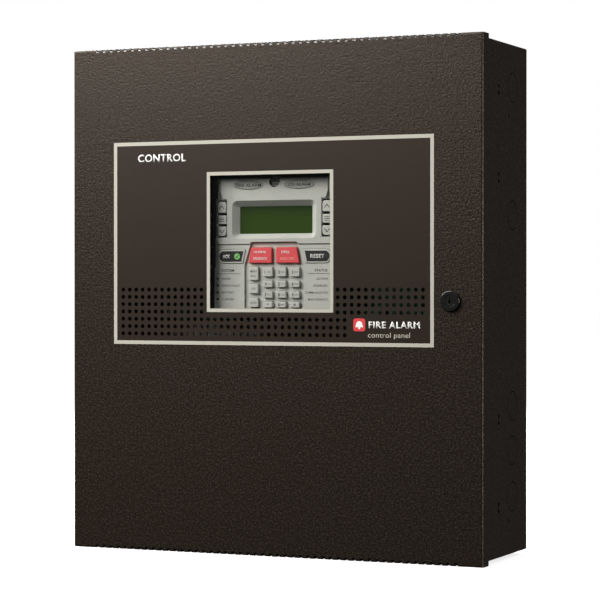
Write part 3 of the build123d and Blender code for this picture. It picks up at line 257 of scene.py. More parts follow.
def circuit(name):
    """Solder-masked board: copper pours and traces showing through the mask."""
    pcb = Surface(name, (0.010, 0.085, 0.035), 0.33, 0.0, Coat_Weight=0.3, Coat_Roughness=0.2)
    pour = pcb.node("ShaderNodeTexBrick", Scale=1.0 / (9.0 * MM), Mortar_Size=0.035, Mortar_Smooth=0.1)
    pour.offset, pour.squash = 0.37, 0.7
    turn = pcb.node("ShaderNodeMapping")
    turn.inputs["Rotation"].default_value = (math.radians(90), 0.0, 0.0)
    pcb.link(pcb.coords, turn.inputs["Vector"])
    pcb.link(turn.outputs["Vector"], pour.inputs["Vector"])
    pcb.tint(pour.outputs["Fac"], (0.004, 0.045, 0.018), 0.2, 0.8, 0.8)
    pcb.tint(pcb.noise(1.0 * MM, 2.0, 0.5, (1.0, 1.0, 6.0)), (0.020, 0.16, 0.06), 0.55, 0.62, 0.5)
    pcb.bump(pour.outputs["Fac"], 0.02 * MM, 0.5)
    return pcb.material


def display_glass(name):
    """Unlit display: dark green, with painted shade darkening it towards the top where the recess's
    top wall shades it, and faint dot rows.
    """
    glass = Surface(name, (0.030, 0.063, 0.007), 0.16, 0.0, Coat_Weight=0.5, Coat_Roughness=0.06)
    split = glass.node("ShaderNodeSeparateXYZ")
    glass.link(glass.coords, split.inputs["Vector"])
    # painted shade: the glass is darkened towards its top edge, standing in for the shadow of the
    # recess's top wall
    glass.tint(split.outputs["Z"], (0.010, 0.024, 0.006), lcd.z1 - 16 * MM, lcd.z1 - 4 * MM, 0.85)
    cells = glass.node("ShaderNodeTexBrick", Scale=1.0 / (3.3 * MM), Mortar_Size=0.06)
    cells.offset = 0.0
    turn = glass.node("ShaderNodeMapping")
    turn.inputs["Rotation"].default_value = (math.radians(90), 0.0, 0.0)
    glass.link(glass.coords, turn.inputs["Vector"])
    glass.link(turn.outputs["Vector"], cells.inputs["Vector"])
    glass.tint(cells.outputs["Fac"], (0.030, 0.060, 0.012), 0.3, 0.8, 0.35)
    return glass.material


def clear_pane(name):
    """Thin clear polycarbonate, with a faint haze of fine scratches."""
    clear = Surface(name, (0.020, 0.024, 0.022), 0.07, 0.0, IOR=1.58, Alpha=0.10)
    clear.uneven(clear.noise(2.0 * MM, 3.0, 0.6, (1.0, 1.0, 0.15)), 0.04)
    return clear.material


def ink(name, color, roughness=0.5, **sockets):
    """Printed ink: slight mottling of the colour and a dry, uneven surface."""
    layer = Surface(name, color, roughness, **sockets)
    speck = layer.noise(0.5 * MM, 3.0)
    layer.tint(speck, [c * 0.86 for c in color], 0.5, 0.75, 0.6)
    layer.uneven(speck, 0.07)
    layer.bump(speck, 0.006 * MM, 0.5)
    return layer.material


PAINT = textured_paint("dark_bronze_powder_coat", (0.0105, 0.0070, 0.0050),
                       (0.027, 0.0210, 0.0160), 0.35)
FILM = printed_film("overlay_velvet_film", (0.014, 0.0095, 0.0072), 0.38)
ZINC = metal("zinc_plated_steel", (0.66, 0.66, 0.64))
GALVANISED = spangled("galvanised_sheet")
LOCK_BLACK = moulded("lock_gloss_black", (0.008, 0.008, 0.008), 0.22, 0.5, 0.3, 0.01)
BEZEL = moulded("keypad_grey", (0.52, 0.535, 0.485), 0.48, 0.3, 0.6)
KEY_GREY = moulded("key_grey_silicone", (0.54, 0.555, 0.505), 0.50, 0.3, 0.6)
KEY_RED = moulded("key_red_silicone", (0.78, 0.080, 0.090), 0.42, 0.3, 0.5)
LENS = moulded("alarm_lens", (0.40, 0.41, 0.38), 0.30, 0.3, 0.3, 0.01)
MAT_RUBBER = moulded("mat_silicone", (0.035, 0.035, 0.035), 0.6, 0.4, 0.3)
DARK_LAMP = moulded("unlit_lamp", (0.012, 0.012, 0.012), 0.18, 0.5, 0.2, 0.005)
SOUNDER = moulded("sounder_case", (0.24, 0.245, 0.225), 0.42, 0.3, 0.3)
LCD_FRAME = metal("display_frame", (0.42, 0.42, 0.42), 0.38)
LCD_GLASS = display_glass("display_glass")
PANE = clear_pane("clear_polycarbonate")
PCB = circuit("solder_mask_green")
TERMINAL = moulded("terminal_green_nylon", (0.020, 0.17, 0.065), 0.45, 0.4, 0.25)
TAN = moulded("ceramic_tan", (0.36, 0.26, 0.15), 0.4, 0.3, 0.15)
RELAY = moulded("relay_case", (0.012, 0.012, 0.014), 0.35, 0.4, 0.25)
SLEEVE = moulded("capacitor_sleeve", (0.015, 0.020, 0.06), 0.25, 0.5, 0.2, 0.008)
CORE = laminated("core_laminations")
COIL = taped("coil_tape")
BATTERY = moulded("battery_case", (0.030, 0.031, 0.034), 0.42, 0.7, 0.6, 0.04)
BRASS = metal("tinned_brass", (0.72, 0.60, 0.36), 0.30)
WIRE_RED = moulded("lead_red_sleeve", (0.42, 0.015, 0.015), 0.38, 0.5, 0.2, 0.01)
WIRE_BLACK = moulded("lead_black_sleeve", (0.016, 0.016, 0.016), 0.38, 0.5, 0.2, 0.01)
PALE_INK = ink("pale_grey_ink", (0.44, 0.43, 0.37))
WHITE_INK = ink("white_ink", (0.86, 0.86, 0.83))
DARK_INK = ink("charcoal_ink", (0.055, 0.056, 0.050))
BLACK_INK = ink("black_ink", (0.010, 0.010, 0.009), 0.4)
RED_INK = ink("red_ink", (0.62, 0.035, 0.045))
GREEN_INK = ink("green_ink", (0.22, 0.60, 0.16))
PINK_INK = ink("pale_red_ink", (0.86, 0.42, 0.40))
LABEL_INK = ink("battery_label", (0.42, 0.43, 0.44))

NODE_MATERIALS = {
    "backbox": PAINT, "door": PAINT, "hinge_plates": PAINT, "hinge_leaves": PAINT,
    "hinge_rivets": PAINT, "hinge_pins": ZINC, "latch_strike": ZINC, "door_overlay": FILM,
    "window_pane": PANE, "push_nuts": ZINC, "lock_body": LOCK_BLACK, "lock_plug": LOCK_BLACK,
    "lock_nut": ZINC, "lock_cam": ZINC, "chassis_plate": GALVANISED, "standoffs": BRASS,
    "machine_screws": ZINC, "main_board": PCB, "keypad_board": PCB, "terminal_blocks": TERMINAL,
    "relays": RELAY, "capacitors": SLEEVE, "transformer_core": CORE, "transformer_coil": COIL,
    "battery_left": BATTERY, "battery_right": BATTERY, "battery_terminals": BRASS,
    "battery_lead_red": WIRE_RED, "battery_lead_black": WIRE_BLACK, "keypad_bezel": BEZEL,
    "lcd_display": LCD_FRAME, "key_mat": MAT_RUBBER, "status_leds": DARK_LAMP,
    "alarm_lenses": LENS, "sounder": SOUNDER, "key_silence": KEY_RED, "key_drill": KEY_RED,
}


def dress_nodes():
    """Give every CAD node its material."""
    for name, node in NODES.items():
        material = NODE_MATERIALS.get(name, KEY_GREY)
        node.data.materials.clear()
        node.data.materials.append(material)


# ---------------------------------------------------------------- piece helpers
def finish_piece(name, mesh, material, body):
    """Turn a mesh into a piece that rides on a body."""
    mesh.materials.clear()
    mesh.materials.append(material)
    piece = bpy.data.objects.new(name, mesh)
    bpy.context.scene.collection.objects.link(piece)
    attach(piece, body)
    return piece


def prism(bm, outline, y_front, y_back):
    """Add a closed prism: an outline in x and z, between two depths."""
    front = [bm.verts.new((x, y_front, z)) for x, z in outline]
    back = [bm.verts.new((x, y_back, z)) for x, z in outline]
    bm.faces.new(front)
    bm.faces.new(list(reversed(back)))
    count = len(outline)
    for i in range(count):
        j = (i + 1) % count
        bm.faces.new((front[j], front[i], back[i], back[j]))


def ring(bm, outer, inner, y_front, y_back):
    """Add a closed band between two outlines with the same number of corners."""
    loops = [[bm.verts.new((x, y, z)) for x, z in outline]
             for outline, y in ((outer, y_front), (inner, y_front), (outer, y_back), (inner, y_back))]
    outer_front, inner_front, outer_back, inner_back = loops
    count = len(outer)
    for i in range(count):
        j = (i + 1) % count
        bm.faces.new((outer_front[i], outer_front[j], inner_front[j], inner_front[i]))
        bm.faces.new((outer_back[j], outer_back[i], inner_back[i], inner_back[j]))
        bm.faces.new((outer_front[j], outer_front[i], outer_back[i], outer_back[j]))
        bm.faces.new((inner_front[i], inner_front[j], inner_back[j], inner_back[i]))


def to_mesh(bm, name):
    """Close a bmesh into mesh data with its faces pointing outwards."""
    bmesh.ops.recalc_face_normals(bm, faces=bm.faces)
    mesh = bpy.data.meshes.new(name)
    bm.to_mesh(mesh)
    bm.free()
    return mesh


def rectangle(x0, x1, z0, z1):
    """Corners of a rectangle in x and z."""
    return [(x0, z0), (x1, z0), (x1, z1), (x0, z1)]


def circle(x, z, radius, steps=32):
    """Points of a circle in x and z."""
    return [(x + radius * math.cos(2 * math.pi * i / steps),
             z + radius * math.sin(2 * math.pi * i / steps)) for i in range(steps)]


def rounded_box(x0, x1, z0, z1, radius, steps=6):
    """Points of a rectangle with round corners."""
    points = []
    corners = ((x1 - radius, z1 - radius, 0), (x0 + radius, z1 - radius, 90),
               (x0 + radius, z0 + radius, 180), (x1 - radius, z0 + radius, 270))
    for cx, cz, start in corners:
        for i in range(steps + 1):
            angle = math.radians(start + 90 * i / steps)
            points.append((cx + radius * math.cos(angle), cz + radius * math.sin(angle)))
    return points


def stroke(bm, points, width, y_front, y_back):
    """Add a straight-sided band of constant width along an open line."""
    for (xa, za), (xb, zb) in zip(points, points[1:]):
        along = Vector((xb - xa, zb - za)).normalized() * width / 2
        across = Vector((-along.y, along.x))
        prism(bm, [(xa - along.x + across.x, za - along.y + across.y),
                   (xa - along.x - across.x, za - along.y - across.y),
                   (xb + along.x - across.x, zb + along.y - across.y),
                   (xb + along.x + across.x, zb + along.y + across.y)], y_front, y_back)


def text_mesh(words, height, width, x, z, y, align="LEFT", weight=0.0, spacing=1.0):
    """Words as thin raised ink facing the front, fitted to a height and a width."""
    curve = bpy.data.curves.new("words", "FONT")
    curve.body = words
    curve.size = 1.0
    curve.offset = weight
    curve.resolution_u = 3
    curve.space_character = spacing
    holder = bpy.data.objects.new("words", curve)
    bpy.context.scene.collection.objects.link(holder)
    bpy.context.view_layer.update()
    mesh = bpy.data.meshes.new_from_object(holder)
    bpy.data.objects.remove(holder)
    bpy.data.curves.remove(curve)
    xs = [v.co.x for v in mesh.vertices]
    ys = [v.co.y for v in mesh.vertices]
    scale_z = height / (max(ys) - min(ys))
    scale_x = width / (max(xs) - min(xs)) if width else scale_z
    span = (max(xs) - min(xs)) * scale_x
    left = {"LEFT": x, "CENTER": x - span / 2, "RIGHT": x - span}[align]
    for vertex in mesh.vertices:
        px, pz = vertex.co.x - min(xs), vertex.co.y - min(ys)
        vertex.co = (left + px * scale_x, y, z - height / 2 + pz * scale_z)
    bm = bmesh.new()
    bm.from_mesh(mesh)
    bpy.data.meshes.remove(mesh)
    faces = bmesh.ops.extrude_face_region(bm, geom=list(bm.faces))
    raised = [item for item in faces["geom"] if isinstance(item, bmesh.types.BMVert)]
    bmesh.ops.translate(bm, verts=raised, vec=(0.0, -PRINT, 0.0))
    return bm


def join(target, source):
    """Add one bmesh to another."""
    mesh = to_mesh(source, "part")
    target.from_mesh(mesh)
    bpy.data.meshes.remove(mesh)


def texts(name, rows, material, body):
    """One piece from several fitted text rows."""
    whole = bmesh.new()
    for row in rows:
        join(whole, text_mesh(**row))
    return finish_piece(name, to_mesh(whole, name), material, body)


# ---------------------------------------------------------------- door print
WINDOW_SIDE, WINDOW_END = 6.5 * MM, 7.0 * MM    # how far the pane laps the window
BORDER = 3.5 * MM


def door_print():
    """Pale borders round the overlay and the window, the heading and a generic mark."""
    y0 = overlay.y0
    bm = bmesh.new()
    edge = 0.3 * MM
    ring(bm, rectangle(overlay.x0 + edge, overlay.x1 - edge, overlay.z0 + edge, overlay.z1 - edge),
         rectangle(overlay.x0 + edge + BORDER, overlay.x1 - edge - BORDER,
                   overlay.z0 + edge + BORDER, overlay.z1 - edge - BORDER), y0 - PRINT, y0)
    x0, x1 = pane.x0 + WINDOW_SIDE, pane.x1 - WINDOW_SIDE
    z0, z1 = pane.z0 + WINDOW_END, pane.z1 - WINDOW_END
    gap = 0.15 * MM
    ring(bm, rectangle(x0 - BORDER, x1 + BORDER, z0 - BORDER, z1 + BORDER),
         rectangle(x0 - gap, x1 + gap, z0 - gap, z1 + gap), y0 - PRINT, y0)
    finish_piece("overlay_borders", to_mesh(bm, "overlay_borders"), PALE_INK, DOOR)

    heading_z, heading_x = overlay.z1 - 16.2 * MM, overlay.x0 + 27.0 * MM
    mark_x, mark_z = overlay.x1 - 74.6 * MM, overlay.z0 + 20.6 * MM
    texts("door_heading", [
        dict(words="CONTROL", height=7.6 * MM, width=52.0 * MM, x=heading_x, z=heading_z, y=y0,
             weight=0.02, spacing=1.08),
        dict(words="FIRE ALARM", height=6.3 * MM, width=51.0 * MM, x=mark_x + 9.6 * MM,
             z=mark_z, y=y0, weight=0.025, spacing=1.1),
    ], WHITE_INK, DOOR)
    texts("door_subheading", [
        dict(words="control panel", height=6.2 * MM, width=42.0 * MM, x=mark_x + 8.8 * MM,
             z=mark_z - 10.2 * MM, y=y0, spacing=1.02),
    ], PALE_INK, DOOR)
    mark = bmesh.new()
    half = 6.0 * MM
    prism(mark, rounded_box(mark_x - half, mark_x + half, mark_z - half, mark_z + half, 2.4 * MM),
          y0 - PRINT, y0)
    finish_piece("mark_ground", to_mesh(mark, "mark_ground"), RED_INK, DOOR)
    bell = bmesh.new()
    arch = [(mark_x + 3.0 * MM * math.cos(math.radians(a)), mark_z + 0.6 * MM + 2.8 * MM * math.sin(
        math.radians(a))) for a in range(0, 181, 15)]
    arch += [(mark_x - 3.9 * MM, mark_z - 2.2 * MM), (mark_x + 3.9 * MM, mark_z - 2.2 * MM)]
    prism(bell, arch, y0 - 2 * PRINT, y0 - PRINT)
    prism(bell, circle(mark_x, mark_z - 3.1 * MM, 1.0 * MM, 16), y0 - 2 * PRINT, y0 - PRINT)
    finish_piece("mark_bell", to_mesh(bell, "mark_bell"), WHITE_INK, DOOR)


# ---------------------------------------------------------------- keypad print
SYSTEM_ROWS = ("POWER", "EARTH FAULT", "BATTERY", "CHARGER")
STATUS_ROWS = ("ACTIVE", "DISABLED", "COMMUNICATION", "MAINTENANCE")
LED_STEP = 6.57 * MM


def keypad_print():
    """Headings, rules and lamp labels on the keypad's base plate, and words on the lenses."""
    y0 = BEZEL_BASE
    middle = bezel.x
    left, right = middle - 55.9 * MM, middle + 55.4 * MM
    top_led = leds.z1 - 1.0 * MM
    rows = []
    for words, x, align in (("SYSTEM", left, "LEFT"), ("STATUS", right, "RIGHT")):
        rows.append(dict(words=words, height=2.5 * MM, width=13.4 * MM, x=x,
                         z=top_led + 8.0 * MM, y=y0, align=align, weight=0.02))
    for labels, x, align in ((SYSTEM_ROWS, left, "LEFT"), (STATUS_ROWS, right, "RIGHT")):
        for number, words in enumerate(labels):
            rows.append(dict(words=words, height=2.0 * MM, width=(1.72 * len(words) + 1.0) * MM, x=x,
                             z=top_led - number * LED_STEP, y=y0, align=align, weight=0.004))
    texts("keypad_legends", rows, DARK_INK, CABINET)
    rules = bmesh.new()
    for side in (-1, 1):
        x0, x1 = middle + side * 35.5 * MM, middle + side * 60.8 * MM
        prism(rules, rectangle(min(x0, x1), max(x0, x1), top_led + 4.6 * MM, top_led + 5.1 * MM),
              y0 - PRINT, y0)
    finish_piece("keypad_rules", to_mesh(rules, "keypad_rules"), DARK_INK, CABINET)

    lens_rows = [dict(words=words, height=3.0 * MM, width=width, x=x, z=lenses.z, y=lenses.y0,
                      align="CENTER", weight=0.012)
                 for words, x, width in (("FIRE ALARM", middle - 26.6 * MM, 27.0 * MM),
                                         ("CO ALARM", middle + 26.6 * MM, 23.5 * MM))]
    texts("lens_words", lens_rows, DARK_INK, CABINET)


def display():
    """Display glass in its frame behind the keypad's tapered recess."""
    margin = 3.4 * MM
    thick = 0.5 * MM
    outline = rectangle(lcd.x0 + margin, lcd.x1 - margin, lcd.z0 + margin, lcd.z1 - margin)
    bm = bmesh.new()
    prism(bm, outline, lcd.y0 - PRINT, lcd.y0 + thick)
    finish_piece("display_glass", to_mesh(bm, "display_glass"), LCD_GLASS, CABINET)


# ---------------------------------------------------------------- key legends
def key_face(name):
    """Box of a key and the depth of its printed face."""
    key = Place(name)
    return key, key.y0


def chevron(name, up):
    """Arrow head on a scroll key."""
    key, y0 = key_face(name)
    rise = 1.5 * MM * (1 if up else -1)
    bm = bmesh.new()
    stroke(bm, [(key.x - 2.4 * MM, key.z - rise), (key.x, key.z + rise),
                (key.x + 2.4 * MM, key.z - rise)], 0.75 * MM, y0 - PRINT, y0)
    return bm


def menu_lines(name, numbered):
    """List symbol on a menu key: short bars, with dots in front when it is a numbered list."""
    key, y0 = key_face(name)
    bm = bmesh.new()
    for row in range(3):
        z = key.z + (row - 1) * 1.7 * MM
        start = key.x - (1.4 if numbered else 2.6) * MM
        stroke(bm, [(start, z), (key.x + 2.4 * MM, z)], 0.6 * MM, y0 - PRINT, y0)
        if numbered:
            prism(bm, circle(key.x - 2.7 * MM, z, 0.42 * MM, 12), y0 - PRINT, y0)
    return bm


NUMBER_WORDS = {"1": "QZ.", "2": "ABC", "3": "DEF", "4": "GHI", "5": "JKL", "6": "MNO", "7": "PRS",
                "8": "TUV", "9": "WXY", "0": "SPACE", "star": "", "hash": ""}
SYMBOLS = {"star": "*", "hash": "#"}


def number_legend(name):
    """Digit with its small letters beside it."""
    key, y0 = key_face(name)
    digit = name.split("_")[1]
    letters = NUMBER_WORDS[digit]
    bm = bmesh.new()
    if letters:
        join(bm, text_mesh(digit, 3.1 * MM, 0, key.x - 3.2 * MM, key.z, y0, "LEFT", 0.02))
        join(bm, text_mesh(letters, 1.5 * MM, min(4.0, 1.4 * len(letters)) * MM, key.x + 3.6 * MM,
                           key.z, y0, "RIGHT", 0.0))
    else:
        join(bm, text_mesh(SYMBOLS[digit], 2.4 * MM, 0, key.x, key.z, y0, "CENTER", 0.03))
    return bm


def worded(name, rows):
    """Centred rows of small words on a key."""
    key, y0 = key_face(name)
    bm = bmesh.new()
    for words, height, width, dx, dz, weight in rows:
        join(bm, text_mesh(words, height * MM, width * MM, key.x + dx * MM, key.z + dz * MM, y0,
                           "CENTER", weight))
    return bm


def pill_print(name, side):
    """Black printed face of the acknowledge and reset keys, inside a grey rim."""
    key, y0 = key_face(name)
    lap = 0.95 * MM + 1.6 * MM
    z0, z1 = key.z0 + lap, key.z1 - lap
    radius = (z1 - z0) / 2
    inner_top, inner_bottom = 32.1 * MM, 34.4 * MM
    outer = abs(key.x1 - bezel.x if side > 0 else key.x0 - bezel.x) - lap
    points = [(inner_bottom, z0)]
    for step in range(17):
        angle = math.radians(-90 + 180 * step / 16)
        points.append((outer - radius + radius * math.cos(angle), key.z + radius * math.sin(angle)))
    points.append((inner_top, z1))
    bm = bmesh.new()
    prism(bm, [(bezel.x + side * x, z) for x, z in points], y0 - PRINT, y0)
    return bm


def add_key_print():
    """All legends, each riding on its own key."""
    def put(node, label, bm, material):
        finish_piece(f"{node}_{label}", to_mesh(bm, label), material, f"{node}_cap")

    for hand in ("left", "right"):
        put(f"key_scroll_up_{hand}", "arrow", chevron(f"key_scroll_up_{hand}", True), DARK_INK)
        put(f"key_scroll_down_{hand}", "arrow", chevron(f"key_scroll_down_{hand}", False), DARK_INK)
        put(f"key_menu_{hand}", "lines", menu_lines(f"key_menu_{hand}", hand == "right"), DARK_INK)
    for digit in NUMBER_WORDS:
        put(f"key_{digit}", "legend", number_legend(f"key_{digit}"), DARK_INK)
    put("key_function", "legend", worded("key_function", [("MENU", 1.9, 6.6, 0, 2.2, 0.01),
                                                          ("BACK", 1.9, 6.0, 0, -2.2, 0.0)]), DARK_INK)
    put("key_clear", "legend", worded("key_clear", [("CLR", 1.8, 4.6, 0, 0, 0.0)]), DARK_INK)
    put("key_enter", "legend", worded("key_enter", [("ENTER", 1.8, 6.6, 0, 0, 0.0)]), DARK_INK)
    put("key_silence", "legend", worded("key_silence", [("ALARM", 2.5, 12.0, -0.6, 3.1, 0.02),
                                                        ("SILENCE", 2.5, 14.6, 0.2, -3.1, 0.02)]),
        WHITE_INK)
    put("key_drill", "title", worded("key_drill", [("DRILL", 2.5, 8.6, -2.0, 3.1, 0.02)]),
        WHITE_INK)
    put("key_drill", "hint", worded("key_drill", [("HOLD 2 SEC", 2.4, 14.6, 0.0, -3.1, 0.0)]),
        PINK_INK)
    for name, side in (("key_acknowledge", -1), ("key_reset", 1)):
        put(name, "face", pill_print(name, side), BLACK_INK)
    key, y0 = key_face("key_acknowledge")
    y1 = y0 - PRINT
    words = text_mesh("ACK", 3.6 * MM, 7.8 * MM, bezel.x - 50.3 * MM, key.z, y1, "CENTER", 0.03)
    put("key_acknowledge", "words", words, WHITE_INK)
    disc = bmesh.new()
    disc_x = bezel.x - 38.9 * MM
    prism(disc, circle(disc_x, key.z, 3.0 * MM), y1 - PRINT, y1)
    put("key_acknowledge", "disc", disc, GREEN_INK)
    tick = bmesh.new()
    stroke(tick, [(disc_x - 1.5 * MM, key.z - 0.1 * MM), (disc_x - 0.4 * MM, key.z - 1.3 * MM),
                  (disc_x + 1.6 * MM, key.z + 1.4 * MM)], 0.7 * MM, y1 - 2 * PRINT, y1 - PRINT)
    put("key_acknowledge", "tick", tick, BLACK_INK)
    key, y0 = key_face("key_reset")
    words = text_mesh("RESET", 3.8 * MM, 14.6 * MM, bezel.x + 45.3 * MM, key.z, y0 - PRINT,
                      "CENTER", 0.03)
    put("key_reset", "words", words, WHITE_INK)


# ---------------------------------------------------------------- fittings inside the cabinet
# chips on the main board, in mm: centre x and z, width and height
CHIPS = ((-92, 62, 20, 20), (-92, 92, 14, 14), (-118, 128, 26, 10), (-118, 146, 26, 10),
         (92, 50, 28, 12), (92, 78, 18, 18), (128, 60, 12, 22), (-30, 150, 24, 12),
         (10, 150, 16, 16), (46, 150, 10, 24))
# rows of small parts, in mm: first x, z, how many and their pitch
SMALL_ROWS = ((-150, 172, 12, 9.0), (-20, 172, 14, 9.0), (-78, 40, 5, 7.0), (75, 28, 9, 8.0),
              (-60, 132, 16, 7.5), (-140, 108, 5, 8.0))
CHIP_LIFT, CHIP_T, SMALL_T, LEG = 0.2 * MM, 2.2 * MM, 0.9 * MM, 1.1 * MM
LEG_PITCH = 1.8                 # in mm, as the chips are
CRYSTAL_X, CRYSTAL_Z, CRYSTAL_W, CRYSTAL_H, CRYSTAL_T = (v * MM for v in (-70, 110, 11, 4.5, 3.5))
BLOCK_COUNT, BLOCK_PITCH, BLOCK_H = 6, 51.0 * MM, 10.0 * MM
WAY_COUNT, WAY_PITCH, WAY_RISE = 8, 5.08 * MM, 6.2 * MM
LABEL_HALF, LABEL_LOW, LABEL_TOP, LABEL_R = 55 * MM, 18 * MM, 24 * MM, 3 * MM
RULE_W, RULE_H, RULE_RISES = 96 * MM, 4 * MM, (9 * MM, 41 * MM)


def slab_on(bm, x, z, w, h, y_back, thick):
    """Add an upright block standing out from a surface, by its centre and size."""
    prism(bm, rectangle(x - w / 2, x + w / 2, z - h / 2, z + h / 2), y_back - thick, y_back)


def board_fittings():
    """Chips with their legs, rows of small parts and a crystal on the main board."""
    y0 = board.y0
    bodies, legs, small, pads = bmesh.new(), bmesh.new(), bmesh.new(), bmesh.new()
    for x, z, w, h in CHIPS:
        slab_on(bodies, x * MM, z * MM, w * MM, h * MM, y0 - CHIP_LIFT, CHIP_T)
        count = int(w / 2)
        for number in range(count):
            leg_x = (x + (number - (count - 1) / 2) * LEG_PITCH) * MM
            for side in (-1, 1):
                slab_on(legs, leg_x, (z + side * (h / 2 + 0.5)) * MM, 0.7 * MM, LEG, y0, 0.5 * MM)
    for x, z, count, pitch in SMALL_ROWS:
        for number in range(count):
            part_x = (x + number * pitch) * MM
            slab_on(small, part_x, z * MM, 1.6 * MM, 2.2 * MM, y0, SMALL_T)
            for side in (-1, 1):
                slab_on(pads, part_x, (z + side * 1.5) * MM, 1.8 * MM, 0.8 * MM, y0, 0.3 * MM)
    slab_on(pads, CRYSTAL_X, CRYSTAL_Z, CRYSTAL_W, CRYSTAL_H, y0, CRYSTAL_T)
    finish_piece("board_chips", to_mesh(bodies, "board_chips"), RELAY, CABINET)
    finish_piece("board_chip_legs", to_mesh(legs, "board_chip_legs"), ZINC, CABINET)
    finish_piece("board_small_parts", to_mesh(small, "board_small_parts"), TAN, CABINET)
    finish_piece("board_pads", to_mesh(pads, "board_pads"), ZINC, CABINET)


def terminal_fittings():
    """Screw heads in the wire entries of every terminal block, with a small clamp below each."""
    blocks = Place("terminal_blocks")
    screws = bmesh.new()
    for low in (blocks.z0, blocks.z1 - BLOCK_H):
        for number in range(BLOCK_COUNT):
            block_x = (number - (BLOCK_COUNT - 1) / 2) * BLOCK_PITCH
            for way in range(WAY_COUNT):
                x = block_x + (way - (WAY_COUNT - 1) / 2) * WAY_PITCH
                prism(screws, circle(x, low + WAY_RISE, 1.5 * MM, 14),
                      blocks.y0 + 1.1 * MM, blocks.y0 + 1.9 * MM)
                slab_on(screws, x, low + 2.1 * MM, 2.6 * MM, 1.6 * MM, blocks.y0, 0.05 * MM)
    finish_piece("terminal_screws", to_mesh(screws, "terminal_screws"), ZINC, CABINET)


def battery_fittings():
    """Plain pale label on each battery, with two dark rules across it."""
    labels, bands = bmesh.new(), bmesh.new()
    for name in ("battery_left", "battery_right"):
        battery = Place(name)
        z0, z1 = battery.z0 + LABEL_LOW, battery.z1 - LABEL_TOP
        prism(labels, rounded_box(battery.x - LABEL_HALF, battery.x + LABEL_HALF, z0, z1, LABEL_R),
              battery.y0 - PRINT, battery.y0)
        for rise in RULE_RISES:
            slab_on(bands, battery.x, z0 + rise, RULE_W, RULE_H, battery.y0 - PRINT, PRINT)
    finish_piece("battery_labels", to_mesh(labels, "battery_labels"), LABEL_INK, CABINET)
    finish_piece("battery_bands", to_mesh(bands, "battery_bands"), DARK_INK, CABINET)


# ---------------------------------------------------------------- camera, light and stage
CAMERA_YAW, CAMERA_PITCH = 24.0, -0.33
CAMERA_PLACE = (0.9034, -2.0915, 0.0118)
CAMERA_LENS = 136.3
KEY_PLACE, STRIP_PLACE = (-0.92, -1.54, 1.26), (-1.95, -1.15, 1.25)
WARM = (1.0, 0.975, 0.945)
ROOM_LIGHT, OVERHEAD_LIGHT = 0.04, 0.6


def area_light(name, place, target, width, height, power, color=(1.0, 1.0, 1.0)):
    """Rectangular softbox aimed at a point."""
    data = bpy.data.lights.new(name, "AREA")
    data.shape = "RECTANGLE"
    data.size, data.size_y = width, height
    data.energy = power
    data.color = color
    light = bpy.data.objects.new(name, data)
    light.location = place
    light.rotation_euler = (Vector(target) - Vector(place)).to_track_quat("-Z", "Y").to_euler()
    bpy.context.scene.collection.objects.link(light)
    return light


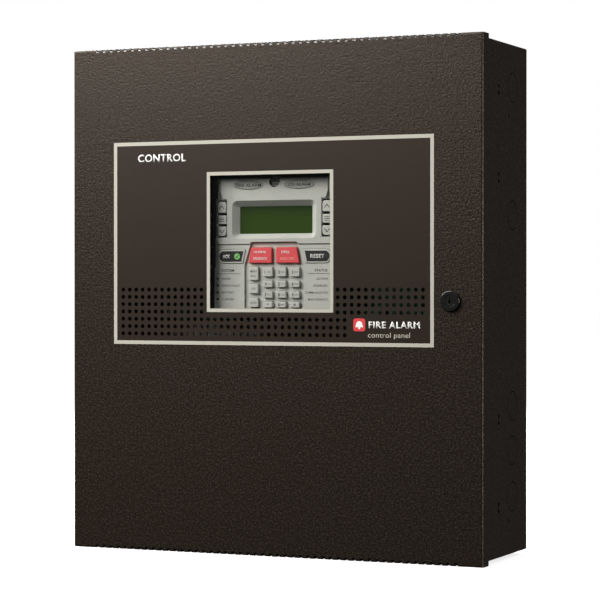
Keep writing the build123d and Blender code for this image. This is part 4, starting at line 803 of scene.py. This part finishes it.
def studio_sky():
    """Overhead softbox in a dim room, in front of a white backdrop."""
    world = bpy.data.worlds.new("studio")
    world.use_nodes = True
    tree = world.node_tree
    room = tree.nodes["Background"]
    room.inputs["Color"].default_value = (1.0, 1.0, 1.0, 1.0)
    coords = tree.nodes.new("ShaderNodeTexCoord")
    split = tree.nodes.new("ShaderNodeSeparateXYZ")
    tree.links.new(coords.outputs["Generated"], split.inputs["Vector"])
    height = tree.nodes.new("ShaderNodeMapRange")
    height.interpolation_type = "SMOOTHSTEP"
    height.inputs["From Min"].default_value = 0.45
    height.inputs["From Max"].default_value = 0.90
    height.inputs["To Min"].default_value = ROOM_LIGHT
    height.inputs["To Max"].default_value = OVERHEAD_LIGHT
    tree.links.new(split.outputs["Z"], height.inputs["Value"])
    tree.links.new(height.outputs["Result"], room.inputs["Strength"])
    backdrop = tree.nodes.new("ShaderNodeBackground")
    rays = tree.nodes.new("ShaderNodeLightPath")
    mix = tree.nodes.new("ShaderNodeMixShader")
    tree.links.new(rays.outputs["Is Camera Ray"], mix.inputs["Fac"])
    tree.links.new(room.outputs["Background"], mix.inputs[1])
    tree.links.new(backdrop.outputs["Background"], mix.inputs[2])
    backdrop.inputs["Color"].default_value = (1.0, 1.0, 1.0, 1.0)
    tree.links.new(mix.outputs["Shader"], tree.nodes["World Output"].inputs["Surface"])
    return world


def stage():
    """Pale floor under the object, soft studio light and the camera."""
    scene = bpy.context.scene
    bm = bmesh.new()
    reach = 6.0
    floor_z = CAD_BOX[0][2] - 0.4 * MM
    corners = [bm.verts.new((x, y, floor_z)) for x, y in
               ((-reach, -reach), (reach, -reach), (reach, reach), (-reach, reach))]
    bm.faces.new(corners)
    floor = bpy.data.objects.new("floor", to_mesh(bm, "floor"))
    pale = Surface("pale_floor", (0.92, 0.92, 0.91), 0.7, Emission_Color=(1.0, 1.0, 1.0, 1.0),
                   Emission_Strength=0.7)
    pale.tint(pale.noise(0.3), (0.90, 0.90, 0.895), 0.4, 0.7, 0.4)
    floor.data.materials.append(pale.material)
    scene.collection.objects.link(floor)
    floor.visible_diffuse = False
    floor.visible_glossy = False

    scene.world = studio_sky()
    area_light("key_light", KEY_PLACE, (0.0, door.y0, 0.0), 1.05, 1.4, 55.0, WARM)
    area_light("strip_light", STRIP_PLACE, (-0.1, door.y0, 0.1), 0.6, 0.8, 52.0, WARM)
    area_light("side_light", (1.9, -0.15, 0.10), (0.2, -0.07, 0.0), 0.9, 0.9, 24.0)
    area_light("back_light", (-1.1, 1.7, 0.9), (0.0, 0.0, 0.0), 0.9, 0.9, 60.0)

    camera_data = bpy.data.cameras.new("camera")
    camera_data.lens = CAMERA_LENS
    camera = bpy.data.objects.new("camera", camera_data)
    yaw, pitch = math.radians(CAMERA_YAW), math.radians(CAMERA_PITCH)
    view = Vector((-math.sin(yaw) * math.cos(pitch), math.cos(yaw) * math.cos(pitch), math.sin(pitch)))
    camera.location = CAMERA_PLACE
    camera.rotation_euler = view.to_track_quat("-Z", "Y").to_euler()
    scene.collection.objects.link(camera)
    scene.camera = camera
    scene.view_settings.view_transform = "Standard"


# ---------------------------------------------------------------- assembly
dress_nodes()
door_print()
keypad_print()
display()
add_key_print()
board_fittings()
terminal_fittings()
battery_fittings()
stage()
